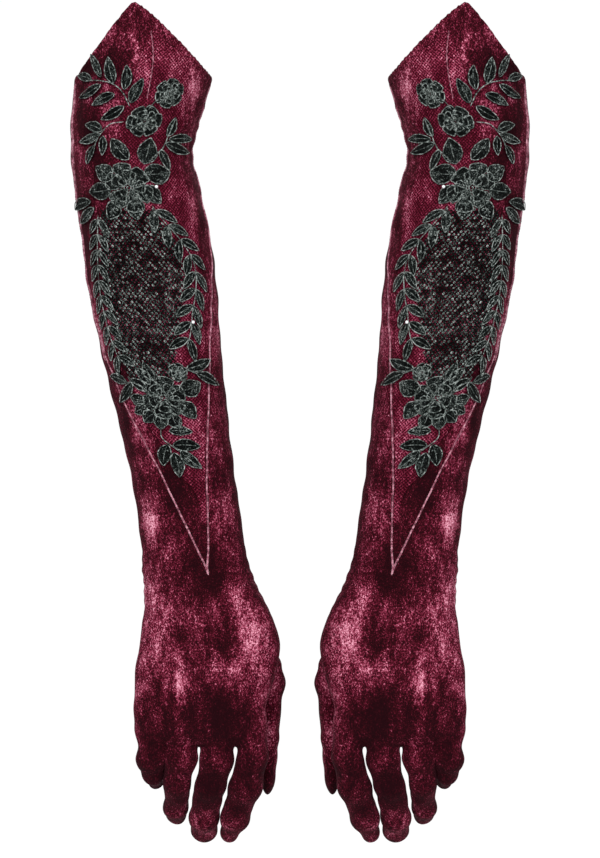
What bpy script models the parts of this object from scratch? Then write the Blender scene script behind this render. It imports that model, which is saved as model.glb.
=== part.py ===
"""A pair of long velvet opera gloves with lace on the outer arm, hanging as they do on two
lowered arms. Metres, +Z up, back of the hand towards -Y, palm towards +Y. The origin is the
centre of the right glove's arm opening. The left glove is the right one's mirror image.

Every panel, seam, appliqué and finger is its own thin closed solid. The panels are divided at
the elbow, wrist, thumb and finger joints, with a notch on each side that the joint closes."""

import math

import bpy
import bmesh
from mathutils import Vector

# Driving dimensions
PAIR_SPACING = 0.1765  # between the centres of the two arm openings
CLOTH = 0.0012  # velvet
NET = 0.0004  # fine net under the lace
LACE = 0.0009  # embroidered appliqué
GAP = 0.0003  # between pieces that lie against each other
SEAM_HALF = 0.0006  # half the width of a raised seam
SEAM_RAISE = 0.0009  # how far a seam stands above the velvet
HEM_HEIGHT = 0.0035
HEM_RAISE = 0.0004
EDGE_HEIGHT = 0.004  # the top edge beside and behind the arm, above the origin
PEAK_HEIGHT = 0.0385  # the pointed front above that edge
PEAK_POWER = 1.25  # above 1 the two flanks of the point are bowed outwards
BEAD_RADIUS = 0.0011
JOINT_GAP = 0.0003  # from each side of a joint to its axis

# The sleeve and hand as level ellipses: height, centre across, half width, half depth
ARM = [
    (0.046, 0.0080, 0.0340, 0.0345),
    (0.000, 0.0000, 0.0372, 0.0355),
    (-0.016, -0.0030, 0.0358, 0.0350),
    (-0.033, -0.0053, 0.0337, 0.0342),
    (-0.056, -0.0019, 0.0347, 0.0343),
    (-0.080, 0.0027, 0.0356, 0.0343),
    (-0.105, 0.0060, 0.0358, 0.0338),
    (-0.140, 0.0106, 0.0337, 0.0312),
    (-0.158, 0.0138, 0.0323, 0.0294),
    (-0.175, 0.0165, 0.0312, 0.0278),
    (-0.190, 0.0191, 0.0302, 0.0264),
    (-0.205, 0.0219, 0.0292, 0.0250),
    (-0.220, 0.0244, 0.0289, 0.0237),
    (-0.235, 0.0267, 0.0286, 0.0226),
    (-0.267, 0.0312, 0.0301, 0.0205),
    (-0.285, 0.0350, 0.0333, 0.0190),
    (-0.300, 0.0368, 0.0366, 0.0183),
    (-0.318, 0.0345, 0.0371, 0.0170),
    (-0.336, 0.0334, 0.0372, 0.0152),
    (-0.370, 0.0330, 0.0352, 0.0122),
]
# The lace panel's two long edges round the arm: height, left and right angle in degrees.
# An angle is 0 at the back of the hand and 180 at the palm, and grows towards the thumb.
PANEL_EDGES = [
    (0.046, -73, 88),
    (0.000, -73, 88),
    (-0.033, -69, 88),
    (-0.056, -74, 87),
    (-0.080, -77, 80),
    (-0.105, -77, 69),
    (-0.140, -69, 56),
    (-0.158, -62, 48),
    (-0.175, -53, 41),
    (-0.190, -42, 35),
    (-0.205, -31, 29),
    (-0.220, -21, 24),
    (-0.235, -11, 20),
    (-0.257, 4.5, 15),
    (-0.267, 7, 13),
]
PANEL_COLUMNS = 12
PEAK_COLUMN = 4
PANEL_TIP = -0.257
CUFF_LEVEL = -0.016  # a level between the elbow and the arm opening, where the arm turns
NET_SHARE = 0.82  # how far up the pointed front the net reaches
SPRAY_SHARE = 0.60  # and the lace spray on it
NET_END = -0.220
# The three patches of lace below the elbow: where each ends, and its first and last column
LACE_PATCHES = [
    ("rose_cluster", -0.080, 2, 9),
    ("lattice_medallion", -0.158, 3, 10),
    ("lower_lace_spray", -0.205, 2, 10),
]
BEADS = [(-0.055, 18), (-0.129, 33)]  # height and angle

# Joints: height of the axis, and how far the joint bends towards the palm and back, degrees
ELBOW_Z = -0.033
ELBOW_BEND = 60
WRIST_Z = -0.267
WRIST_BEND = 45
WRIST_BACK = 35
FINGER_Z = -0.370
THUMB_SWING = 40
WEDGE_SPARE = 1  # degrees left on each side of a notch when its joint is fully bent
WRIST_SPARE = 3  # the same at the wrist, where the panels' columns don't line up

# Fingers: places across at the knuckle, middle joint, end joint and tip; half widths at the
# first three; half depth; segment lengths; slope of each segment from straight down, degrees;
# and the knuckle's bend towards the palm and back
FINGERS = {
    "index": ((0.0609, 0.0594, 0.0535, 0.0480), (0.0070, 0.0085, 0.0082), 0.0075,
              (0.0175, 0.021, 0.019), (15, 33, 48), (50, 10)),
    "middle": ((0.0424, 0.0383, 0.0345, 0.0328), (0.0093, 0.0087, 0.0082), 0.0080,
               (0.0165, 0.024, 0.021), (18, 38, 52), (50, 10)),
    "ring": ((0.0225, 0.0203, 0.0181, 0.0175), (0.0087, 0.0077, 0.0067), 0.0073,
             (0.0150, 0.022, 0.018), (22, 48, 65), (45, 12)),
    "little": ((0.0051, 0.0058, 0.0062, 0.0066), (0.0071, 0.0062, 0.0052), 0.0063,
               (0.0110, 0.015, 0.013), (40, 75, 95), (30, 20)),
}
FINGER_SIDES = 12

# Thumb: centre and half width across, half depth, at its root, base, knuckle, joint and tip
THUMB_ROOT = (Vector((0.0550, 0.0030, -0.2860)), 0.0100, 0.0090)
THUMB_BASE = (Vector((0.0703, 0.0170, -0.3165)), 0.0069, 0.0086)
THUMB_KNUCKLE = (Vector((0.0718, 0.0182, -0.3300)), 0.0076, 0.0085)
THUMB_JOINT = (Vector((0.0728, 0.0210, -0.3610)), 0.0042, 0.0078)
THUMB_PAD = (Vector((0.0725, 0.0225, -0.3800)), 0.0040, 0.0070)
THUMB_TIP = (Vector((0.0718, 0.0235, -0.3925)), 0.0, 0.0)
THUMB_BEND = 45
THUMB_BACK = 10

VELVET = ("velvet", (0.120, 0.006, 0.020), 0.75)
SEAM = ("seam", (0.380, 0.080, 0.130), 0.6)
NETTING = ("netting", (0.150, 0.008, 0.025), 0.8)
THREAD = ("lace", (0.018, 0.022, 0.021), 0.55)
CRYSTAL = ("bead", (0.85, 0.86, 0.88), 0.1)


def remove_everything():
    for item in list(bpy.data.objects):
        bpy.data.objects.remove(item, do_unlink=True)


def finish_material(name, colour, roughness):
    made = bpy.data.materials.get(name) or bpy.data.materials.new(name)
    made.use_nodes = True
    shader = made.node_tree.nodes["Principled BSDF"]
    shader.inputs["Base Color"].default_value = (*colour, 1)
    shader.inputs["Roughness"].default_value = roughness
    shader.inputs["Metallic"].default_value = 0
    return made


def between(table, height):
    """The table's other columns at a height, in a straight line between its rows."""
    upper = table[0]
    for lower in table[1:]:
        if height >= lower[0]:
            share = (upper[0] - height) / (upper[0] - lower[0])
            share = min(max(share, 0), 1)
            return [a + (b - a) * share for a, b in zip(upper[1:], lower[1:])]
        upper = lower
    return list(upper[1:])


def on_arm(height, angle, lift=0.0):
    """The point on the arm's surface at a height and angle, lifted off the velvet."""
    centre, half_width, half_depth = between(ARM, height)
    turn = math.radians(angle)
    across = centre + (half_width + lift) * math.sin(turn)
    return Vector((across, -(half_depth + lift) * math.cos(turn), height))


def as_angle(length, height):
    """A length round the arm as an angle in degrees."""
    _, half_width, half_depth = between(ARM, height)
    return math.degrees(2 * length / (half_width + half_depth))


def panel_angle(share, height):
    """The angle at a share of the way across the lace panel, inside its seams."""
    left, right = between(PANEL_EDGES, height)
    inset = as_angle(SEAM_HALF + GAP, height)
    return left + inset + share * (right - left - 2 * inset)


def notch_edge(axis_height, angle, side, palm_half, back_half=0.0):
    """The height of a joint's cut edge: side is 1 above the axis and -1 below it."""
    _, _, half_depth = between(ARM, axis_height)
    depth = -half_depth * math.cos(math.radians(angle))
    half = palm_half if depth > 0 else back_half
    return axis_height + side * (JOINT_GAP + abs(depth) * math.tan(math.radians(half)))


def elbow_edge(angle, side):
    return notch_edge(ELBOW_Z, angle, side, ELBOW_BEND / 2 + WEDGE_SPARE)


def wrist_edge(angle, side):
    palm_half = WRIST_BEND / 2 + WRIST_SPARE
    back_half = WRIST_BACK / 2 + WRIST_SPARE
    return notch_edge(WRIST_Z, angle, side, palm_half, back_half)


def top_edge(angle):
    """The pointed top edge: highest at the peak column, level at the sides and behind."""
    left = math.sin(math.radians(panel_angle(0, 0)))
    right = math.sin(math.radians(panel_angle(1, 0)))
    peak = math.sin(math.radians(panel_angle(PEAK_COLUMN / PANEL_COLUMNS, 0)))
    if not panel_angle(0, 0) <= angle <= panel_angle(1, 0):
        return EDGE_HEIGHT
    here = math.sin(math.radians(angle))
    side = left if here < peak else right
    away = min(abs((here - peak) / (side - peak)), 1)
    return EDGE_HEIGHT + PEAK_HEIGHT * (1 - away**PEAK_POWER)


class Glove:
    """One glove: it names and mirrors the solids, and hangs them on its joints' empties."""

    def __init__(self, side, mirrored):
        self.side = side
        self.mirrored = mirrored
        self.pivots = {}

    def place(self, point):
        if self.mirrored:
            return Vector((PAIR_SPACING - point.x, point.y, point.z))
        return Vector(point)

    def joint(self, body, point, parent=None):
        name = f"{self.side}_{body}"
        pivot = bpy.data.objects.new(f"{name}_pivot", None)
        bpy.context.scene.collection.objects.link(pivot)
        here = self.place(point)
        if parent:
            pivot.parent = self.pivots[parent][0]
            pivot.location = here - self.pivots[parent][1]
        else:
            pivot.location = here
        self.pivots[body] = (pivot, here)

    def solid(self, node, body, points, faces, finish):
        pivot, here = self.pivots[body]
        mesh = bpy.data.meshes.new(f"{self.side}_{node}")
        mesh.from_pydata([self.place(point) - here for point in points], [], faces)
        cleaned = bmesh.new()
        cleaned.from_mesh(mesh)
        bmesh.ops.recalc_face_normals(cleaned, faces=cleaned.faces)
        cleaned.to_mesh(mesh)
        cleaned.free()
        mesh.materials.append(finish_material(*finish))
        made = bpy.data.objects.new(mesh.name, mesh)
        bpy.context.scene.collection.objects.link(made)
        made.parent = pivot
        return made


def sheet(outer, inner, closed=False):
    """A thin closed solid between two grids of points, or a sleeve where each row closes.
    Its faces are split along the same diagonal in every piece, so stacked pieces stay parallel."""
    rows = len(outer)
    columns = len(outer[0])
    points = [point for row in outer for point in row]
    points += [point for row in inner for point in row]
    under = rows * columns
    spans = [(j, (j + 1) % columns) for j in range(columns if closed else columns - 1)]
    faces = []
    for i in range(rows - 1):
        for j, k in spans:
            a, b = i * columns + j, i * columns + k
            c, d = b + columns, a + columns
            for triangle in ((a, b, c), (a, c, d)):
                faces.append(triangle)
                faces.append(tuple(under + corner for corner in reversed(triangle)))
    for i in (0, rows - 1):
        for j, k in spans:
            faces.append((i * columns + j, under + i * columns + j,
                          under + i * columns + k, i * columns + k))
    if not closed:
        for j in (0, columns - 1):
            for i in range(rows - 1):
                faces.append((i * columns + j, (i + 1) * columns + j,
                              under + (i + 1) * columns + j, under + i * columns + j))
    return points, faces


def stall(outer, inner, outer_tip, inner_tip):
    """A hollow finger: a sleeve of rings, open above and closed to a point below."""
    points, faces = sheet(outer, inner, closed=True)
    columns = len(outer[0])
    rows = len(outer)
    under = rows * columns
    last = (rows - 1) * columns
    rims = [face for face in faces if set(face) & set(range(last, last + columns))
            and set(face) & set(range(under + last, under + last + columns))]
    faces = [face for face in faces if face not in rims]
    points += [outer_tip, inner_tip]
    for j in range(columns):
        k = (j + 1) % columns
        faces.append((last + j, last + k, len(points) - 2))
        faces.append((under + last + j, under + last + k, len(points) - 1))
    return points, faces


def block(rings):
    """A solid through a list of rings, with flat ends."""
    columns = len(rings[0])
    points = [point for ring in rings for point in ring]
    last = (len(rings) - 1) * columns
    faces = [tuple(range(columns)), tuple(range(last, last + columns))]
    for i in range(len(rings) - 1):
        for j in range(columns):
            k = (j + 1) % columns
            faces.append((i * columns + j, i * columns + k,
                          (i + 1) * columns + k, (i + 1) * columns + j))
    return points, faces


def arm_rows(heights_at, lanes, lift):
    """A grid on the arm: for each lane, its heights, and its angle at each height."""
    columns = []
    for lane in lanes:
        heights = heights_at(lane)
        columns.append([on_arm(height, lane(height), lift) for height in heights])
    return [list(row) for row in zip(*columns)]


def arm_sheet(heights_at, lanes, thickness, lift=0.0, closed=False):
    """A piece of cloth round the arm, its outer face lifted off the velvet's own."""
    outer = arm_rows(heights_at, lanes, lift)
    inner = arm_rows(heights_at, lanes, lift - thickness)
    return sheet(outer, inner, closed)


def panel_lanes(first, last):
    """The lace panel's columns, from one to another, each a line down the arm."""
    def lane(column):
        return lambda height: panel_angle(column / PANEL_COLUMNS, height)
    return [lane(column) for column in range(first, last + 1)]


def wrap_lanes(start, end, count):
    """Columns shared out between two edges that follow the arm."""
    def lane(share):
        return lambda height: start(height) + share * (end(height) - start(height))
    return [lane(step / count) for step in range(count + 1)]


def left_of_seam(height):
    """The velvet's edge beyond the panel's left seam, as an angle past the palm."""
    return 360 + between(PANEL_EDGES, height)[0] - as_angle(SEAM_HALF + GAP, height)


def right_of_seam(height):
    return between(PANEL_EDGES, height)[1] + as_angle(SEAM_HALF + GAP, height)


def under_seam(side):
    """The edge beside the seam under the arm, on its thumb side or its other side."""
    return lambda height: 180 + side * as_angle(GAP / 2, height)


def levels_between(top, bottom):
    """The arm's own levels strictly between two heights, with the two heights."""
    inside = [row[0] for row in ARM if bottom + 0.001 < row[0] < top - 0.001]
    return [top, *inside, bottom]


def fixed_levels(top_of, bottom_of, top_limit, bottom_limit):
    """Each lane runs from its own top to its own bottom through the same levels between."""
    inside = [row[0] for row in ARM if bottom_limit < row[0] < top_limit]

    def heights_at(lane):
        top = top_of(lane(top_limit))
        bottom = bottom_of(lane(bottom_limit))
        return [top, *inside, bottom]
    return heights_at


def upper_arm(glove):
    """The short cuff above the elbow, with the pointed front and its narrow hem."""
    def to_top(lane):
        angle = lane(0)
        top = top_edge(angle)
        return [elbow_edge(angle, 1), CUFF_LEVEL, 0, top / 2, top]

    glove.solid("upper_lace_panel", "upper", *arm_sheet(to_top, panel_lanes(0, 12), CLOTH), VELVET)
    behind = wrap_lanes(right_of_seam, left_of_seam, 14)

    def behind_top(lane):
        return [elbow_edge(lane(ELBOW_Z), 1), 0, EDGE_HEIGHT]

    glove.solid("upper_sleeve", "upper", *arm_sheet(behind_top, behind, CLOTH), VELVET)

    hem_lanes = panel_lanes(0, 12) + behind

    def hem_heights(lane):
        base = top_edge(lane(0)) + 2 * GAP
        return [base, base + HEM_HEIGHT]

    hem = arm_sheet(hem_heights, hem_lanes, CLOTH + HEM_RAISE, HEM_RAISE, closed=True)
    glove.solid("upper_hem", "upper", *hem, VELVET)

    def net_heights(lane):
        return [elbow_edge(0, 1), CUFF_LEVEL, 0, NET_SHARE * top_edge(lane(0))]

    net = arm_sheet(net_heights, panel_lanes(1, 10), NET, GAP + NET)
    glove.solid("upper_net", "upper", *net, NETTING)

    def spray_heights(lane):
        return [elbow_edge(0, 1), CUFF_LEVEL, 0, SPRAY_SHARE * top_edge(lane(0))]

    spray = arm_sheet(spray_heights, panel_lanes(1, 9), LACE, 2 * GAP + NET + LACE)
    glove.solid("upper_lace_spray", "upper", *spray, THREAD)


def forearm(glove):
    """The sleeve from elbow to wrist: the lace panel's long point between two velvet sides."""
    panel_levels = [row[0] for row in ARM if PANEL_TIP < row[0] < ELBOW_Z]

    def panel_heights(lane):
        return [elbow_edge(0, -1), *panel_levels, PANEL_TIP]

    glove.solid("lace_panel", "forearm", *arm_sheet(panel_heights, panel_lanes(0, 12), CLOTH),
                VELVET)

    side_heights = fixed_levels(lambda angle: elbow_edge(angle, -1),
                                lambda angle: wrist_edge(angle, 1), -0.055, -0.240)
    thumb_side = wrap_lanes(right_of_seam, under_seam(-1), 7)
    outer_side = wrap_lanes(under_seam(1), left_of_seam, 7)
    glove.solid("thumb_side_panel", "forearm", *arm_sheet(side_heights, thumb_side, CLOTH), VELVET)
    glove.solid("outer_side_panel", "forearm", *arm_sheet(side_heights, outer_side, CLOTH), VELVET)

    for name, edge in (("left", 0), ("right", 1)):
        def seam_lane(side, edge=edge):
            return lambda height: (between(PANEL_EDGES, height)[edge]
                                   + side * as_angle(SEAM_HALF, height))
        seam = arm_sheet(panel_heights, [seam_lane(-1), seam_lane(1)], CLOTH + SEAM_RAISE,
                         SEAM_RAISE)
        glove.solid(f"lace_panel_{name}_seam", "forearm", *seam, SEAM)

    top = elbow_edge(0, -1)
    net_levels = levels_between(top, NET_END)
    net = arm_sheet(lambda lane: net_levels, panel_lanes(1, 11), NET, GAP + NET)
    glove.solid("lace_net", "forearm", *net, NETTING)
    for name, bottom, first, last in LACE_PATCHES:
        levels = levels_between(top, bottom + GAP)
        patch = arm_sheet(lambda lane, levels=levels: levels, panel_lanes(first, last), LACE,
                          2 * GAP + NET + LACE)
        glove.solid(name, "forearm", *patch, THREAD)
        top = bottom


def bead(centre):
    """A small round bead: rings from top to bottom."""
    rings = []
    for tilt in (35, 75, 105, 145):
        turn = math.radians(tilt)
        radius = BEAD_RADIUS * math.sin(turn)
        height = BEAD_RADIUS * math.cos(turn)
        rings.append([centre + Vector((radius * math.cos(step * math.pi / 4),
                                       radius * math.sin(step * math.pi / 4), height))
                      for step in range(8)])
    return block(rings)


def beads(glove):
    lift = 3 * GAP + NET + LACE + BEAD_RADIUS
    for number, (height, angle) in enumerate(BEADS, 1):
        points, faces = bead(on_arm(height, angle, lift))
        glove.solid(f"bead_{number}", "forearm", points, faces, CRYSTAL)


def oval(centre, half_width, half_depth, sides=FINGER_SIDES):
    """A level oval ring; its points start at the back of the hand."""
    turns = [2 * math.pi * step / sides for step in range(sides)]
    return [centre + Vector((half_width * math.sin(turn), -half_depth * math.cos(turn), 0))
            for turn in turns]


def hand(glove):
    """The hand's back and palm, which meet along its two edges, and the thumb's gusset."""
    bottom_back = FINGER_Z + 0.0008
    bottom_palm = FINGER_Z + 0.0095
    levels = [row[0] for row in ARM if FINGER_Z + 0.012 < row[0] < -0.280]

    def heights_at(lane):
        angle = lane(WRIST_Z) % 360
        bottom = bottom_palm if 90 < angle < 270 else bottom_back
        return [wrist_edge(angle, -1), *levels, bottom]

    def edge(angle, side):
        return lambda height: angle + side * as_angle(GAP / 2, height)

    back = wrap_lanes(edge(-90, 1), edge(90, -1), 12)
    palm = wrap_lanes(edge(90, 1), edge(270, -1), 12)
    glove.solid("hand_back", "hand", *arm_sheet(heights_at, back, CLOTH), VELVET)
    palm_solid = glove.solid("hand_palm", "hand", *arm_sheet(heights_at, palm, CLOTH), VELVET)

    root, root_width, root_depth = THUMB_ROOT
    base, base_width, base_depth = THUMB_BASE
    base = base + Vector((0, 0, JOINT_GAP))
    outer = [oval(root, root_width, root_depth), oval(base, base_width, base_depth)]
    inner = [oval(root, root_width - CLOTH, root_depth - CLOTH),
             oval(base, base_width - CLOTH, base_depth - CLOTH)]
    gusset = glove.solid("thumb_gusset", "hand", *sheet(outer, inner, closed=True), VELVET)

    hand_levels = (-0.272, -0.285, -0.300, -0.318, -0.336, -0.352)
    hand_core = [[on_arm(level, 15 * step, 1.5 * GAP) for step in range(24)]
                 for level in hand_levels]
    cut(gusset, glove.solid("hand_core", "hand", *block(hand_core), VELVET))
    above = root + (root - base) * 0.2
    thumb_hole = [oval(above, root_width - CLOTH, root_depth - CLOTH), *inner]
    cut(palm_solid, glove.solid("thumb_hole", "hand", *block(thumb_hole), VELVET))


def cut(target, tool):
    tool.hide_render = True
    tool.display_type = "WIRE"
    cutting = target.modifiers.new("cut", "BOOLEAN")
    cutting.operation = "DIFFERENCE"
    cutting.solver = "EXACT"
    cutting.object = tool


def slope(degrees):
    """A segment's direction and its palm side, as (depth, height) pairs."""
    turn = math.radians(degrees)
    return (math.sin(turn), -math.cos(turn)), (math.cos(turn), math.sin(turn))


def cross(a, b):
    return a[0] * b[1] - a[1] * b[0]


def notch_ring(pivot, half_width, half_depth, along, middle, palm_half, back_half, side):
    """A finger's ring at a joint, cut back on the palm side and the back side by the notch.
    along is the segment's slope and middle the slope halfway through the joint, in degrees."""
    direction, palm_side = slope(along)
    middle_direction, middle_palm = slope(middle)
    ring = []
    for step in range(FINGER_SIDES):
        turn = 2 * math.pi * step / FINGER_SIDES
        off = -half_depth * math.cos(turn)
        half = math.radians(palm_half if off > 0 else back_half)
        sign = 1 if off > 0 else -1
        towards_palm, down = sign * math.cos(half), side * math.sin(half)
        plane = (towards_palm * middle_palm[0] + down * middle_direction[0],
                 towards_palm * middle_palm[1] + down * middle_direction[1])
        shift = -off * cross(palm_side, plane) / cross(direction, plane) + side * JOINT_GAP
        ring.append(pivot + Vector((half_width * math.sin(turn),
                                    off * palm_side[0] + shift * direction[0],
                                    off * palm_side[1] + shift * direction[1])))
    return ring


def square_ring(centre, half_width, half_depth, along):
    return notch_ring(centre, half_width, half_depth, along, along, 0, 0, 0)


def finger(glove, name):
    """A finger's two stalls, which bend at the knuckle and at the middle joint."""
    across, widths, depth, lengths, slopes, (bend, back) = FINGERS[name]
    palm_half = bend / 2 + WEDGE_SPARE
    back_half = back / 2 + WEDGE_SPARE
    stations = [Vector((across[0], 0, FINGER_Z))]
    for place, length, along in zip(across[1:], lengths, slopes):
        direction, _ = slope(along)
        last = stations[-1]
        stations.append(Vector((place, last.y + length * direction[0],
                                last.z + length * direction[1])))
    knuckle, middle_joint, end_joint, tip = stations
    glove.joint(f"{name}_base", knuckle, "hand")
    glove.joint(f"{name}_tip", middle_joint, f"{name}_base")

    def rings(thickness):
        low = depth - thickness
        first = notch_ring(knuckle, widths[0] - thickness, low, slopes[0], slopes[0] / 2,
                           palm_half, back_half, 1)
        bend_slope = (slopes[0] + slopes[1]) / 2
        second = notch_ring(middle_joint, widths[1] - thickness, low, slopes[0], bend_slope,
                            palm_half, back_half, -1)
        third = notch_ring(middle_joint, widths[1] - thickness, low, slopes[1], bend_slope,
                           palm_half, back_half, 1)
        fourth = square_ring(end_joint, widths[2] - thickness, low * 0.95,
                             (slopes[1] + slopes[2]) / 2)
        rounds = [square_ring(end_joint.lerp(tip, share), (widths[2] - thickness) * size,
                              low * 0.95 * size, slopes[2])
                  for share, size in ((0.55, 0.90), (0.85, 0.60))]
        return [first, second], [third, fourth, *rounds]

    outer_base, outer_tip = rings(0)
    inner_base, inner_tip = rings(CLOTH)
    glove.solid(f"{name}_base", f"{name}_base", *sheet(outer_base, inner_base, closed=True), VELVET)
    inner_end = end_joint.lerp(tip, 1 - CLOTH / lengths[2])
    glove.solid(f"{name}_tip", f"{name}_tip", *stall(outer_tip, inner_tip, tip, inner_end), VELVET)


def thumb(glove):
    """The thumb's two stalls: the first swings out in front of the palm, the second bends."""
    base, base_width, base_depth = THUMB_BASE
    joint = THUMB_JOINT[0]
    glove.joint("thumb_base", base, "hand")
    glove.joint("thumb_tip", joint, "thumb_base")
    palm_half = THUMB_BEND / 2 + WEDGE_SPARE
    back_half = THUMB_BACK / 2 + WEDGE_SPARE
    lean = math.degrees(math.atan2(joint.y - base.y, base.z - joint.z))
    swing = math.tan(math.radians(THUMB_SWING + WEDGE_SPARE))

    def rings(thickness):
        first = oval(base, base_width - thickness, base_depth - thickness)
        for point in first:
            point.z -= JOINT_GAP + max(point.y - base.y, 0) * swing
        second = oval(THUMB_KNUCKLE[0], THUMB_KNUCKLE[1] - thickness, THUMB_KNUCKLE[2] - thickness)
        third = notch_ring(joint, THUMB_JOINT[1] - thickness, THUMB_JOINT[2] - thickness, lean,
                           lean, palm_half, back_half, -1)
        fourth = notch_ring(joint, THUMB_JOINT[1] - thickness, THUMB_JOINT[2] - thickness, lean,
                            lean, palm_half, back_half, 1)
        fifth = oval(THUMB_PAD[0], THUMB_PAD[1] - thickness, THUMB_PAD[2] - thickness)
        near_tip = THUMB_PAD[0].lerp(THUMB_TIP[0], 0.7)
        sixth = oval(near_tip, (THUMB_PAD[1] - thickness) * 0.65, (THUMB_PAD[2] - thickness) * 0.65)
        return [first, second, third], [fourth, fifth, sixth]

    outer_base, outer_tip = rings(0)
    inner_base, inner_tip = rings(CLOTH)
    glove.solid("thumb_base", "thumb_base", *sheet(outer_base, inner_base, closed=True), VELVET)
    inner_end = THUMB_TIP[0] + Vector((0, 0, CLOTH))
    glove.solid("thumb_tip", "thumb_tip",
                *stall(outer_tip, inner_tip, THUMB_TIP[0], inner_end), VELVET)


def make_glove(side, mirrored):
    glove = Glove(side, mirrored)
    elbow = Vector((between(ARM, ELBOW_Z)[0], 0, ELBOW_Z))
    wrist = Vector((between(ARM, WRIST_Z)[0], 0, WRIST_Z))
    glove.joint("upper", Vector((0, 0, 0)))
    glove.joint("forearm", elbow, "upper")
    glove.joint("hand", wrist, "forearm")
    upper_arm(glove)
    forearm(glove)
    beads(glove)
    hand(glove)
    thumb(glove)
    for name in FINGERS:
        finger(glove, name)


remove_everything()
make_glove("right", False)
make_glove("left", True)
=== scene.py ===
"""The looks of the velvet opera gloves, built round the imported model.

Everything is made for the right glove in metres, +Z up, back of the hand towards -Y, and the
left glove is its mirror image. An angle round the arm is 0 at the back of the hand, 180 at the
palm, and grows towards the thumb."""

import math

import bpy
import numpy as np
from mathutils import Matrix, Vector


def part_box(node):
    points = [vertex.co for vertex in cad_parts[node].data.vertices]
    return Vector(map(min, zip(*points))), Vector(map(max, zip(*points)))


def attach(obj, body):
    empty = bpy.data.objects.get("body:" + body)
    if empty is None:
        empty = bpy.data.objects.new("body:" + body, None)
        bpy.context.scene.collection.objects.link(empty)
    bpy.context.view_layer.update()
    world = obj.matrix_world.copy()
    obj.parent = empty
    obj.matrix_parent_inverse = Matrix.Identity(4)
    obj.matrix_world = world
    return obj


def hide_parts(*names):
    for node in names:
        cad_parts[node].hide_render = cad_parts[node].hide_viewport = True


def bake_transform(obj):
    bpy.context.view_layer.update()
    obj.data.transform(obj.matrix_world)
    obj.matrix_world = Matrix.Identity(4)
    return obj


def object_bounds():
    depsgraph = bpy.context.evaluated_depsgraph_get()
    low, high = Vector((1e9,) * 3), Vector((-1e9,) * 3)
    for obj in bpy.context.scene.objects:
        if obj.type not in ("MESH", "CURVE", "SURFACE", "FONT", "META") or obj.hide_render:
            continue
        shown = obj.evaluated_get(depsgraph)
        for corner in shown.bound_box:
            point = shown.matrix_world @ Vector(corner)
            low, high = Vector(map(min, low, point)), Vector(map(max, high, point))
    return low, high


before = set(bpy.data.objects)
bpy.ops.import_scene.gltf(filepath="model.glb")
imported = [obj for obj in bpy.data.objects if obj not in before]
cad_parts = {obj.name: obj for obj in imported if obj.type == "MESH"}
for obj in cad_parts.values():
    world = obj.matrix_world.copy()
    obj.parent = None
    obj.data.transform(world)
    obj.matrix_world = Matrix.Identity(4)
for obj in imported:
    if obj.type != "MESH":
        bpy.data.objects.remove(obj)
cad_low, cad_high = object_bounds()

MIRROR = np.array((-1, 1, 1))

# The shape, as the frame has it
PAIR_SPACING = 0.1765
CLOTH = 0.0012
EDGE_HEIGHT = 0.004
PEAK_HEIGHT = 0.0385
PEAK_POWER = 1.25
PEAK_SHARE = 4 / 12
ELBOW_Z = -0.033
WRIST_Z = -0.267
FINGER_Z = -0.370

# Height, centre across, half width, half depth
ARM = np.array([
    (0.046, 0.0080, 0.0340, 0.0345),
    (0.000, 0.0000, 0.0372, 0.0355),
    (-0.016, -0.0030, 0.0358, 0.0350),
    (-0.033, -0.0053, 0.0337, 0.0342),
    (-0.056, -0.0019, 0.0347, 0.0343),
    (-0.080, 0.0027, 0.0356, 0.0343),
    (-0.105, 0.0060, 0.0358, 0.0338),
    (-0.140, 0.0106, 0.0337, 0.0312),
    (-0.175, 0.0165, 0.0312, 0.0278),
    (-0.205, 0.0219, 0.0292, 0.0250),
    (-0.235, 0.0267, 0.0286, 0.0226),
    (-0.267, 0.0312, 0.0301, 0.0205),
    (-0.285, 0.0356, 0.0339, 0.0190),
    (-0.300, 0.0381, 0.0379, 0.0183),
    (-0.318, 0.0368, 0.0394, 0.0170),
    (-0.336, 0.0334, 0.0372, 0.0152),
    (-0.370, 0.0330, 0.0352, 0.0122),
])
# The lace panel's long edges: height, left and right angle
PANEL_EDGES = np.array([
    (0.046, -73, 88),
    (0.000, -73, 88),
    (-0.033, -69, 88),
    (-0.056, -74, 87),
    (-0.080, -77, 80),
    (-0.105, -77, 69),
    (-0.140, -69, 56),
    (-0.175, -50, 43),
    (-0.205, -28, 31),
    (-0.235, -8, 22),
    (-0.257, 6.5, 17),
    (-0.267, 10.5, 14.5),
])
# Places across, half widths, half depth, segment lengths, slopes from straight down, and how far
# along and how wide the last section is before the rounded tip
FINGERS = {
    "index": ((0.0618, 0.0577, 0.0518, 0.0473), (0.0084, 0.0088, 0.0076), 0.0078,
              (0.0175, 0.021, 0.019), (15, 33, 48), (0.58, 0.74)),
    "middle": ((0.0424, 0.0384, 0.0346, 0.0345), (0.0090, 0.0083, 0.0081), 0.0082,
               (0.0165, 0.024, 0.021), (18, 38, 52), (0.64, 0.92)),
    "ring": ((0.0220, 0.0199, 0.0188, 0.0188), (0.0089, 0.0074, 0.0065), 0.0075,
             (0.0150, 0.022, 0.018), (22, 48, 65), (0.64, 0.90)),
    "little": ((0.0058, 0.0067, 0.0076, 0.0080), (0.0080, 0.0060, 0.0043), 0.0066,
               (0.0110, 0.015, 0.013), (40, 75, 95), (0.60, 0.84)),
}
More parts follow.
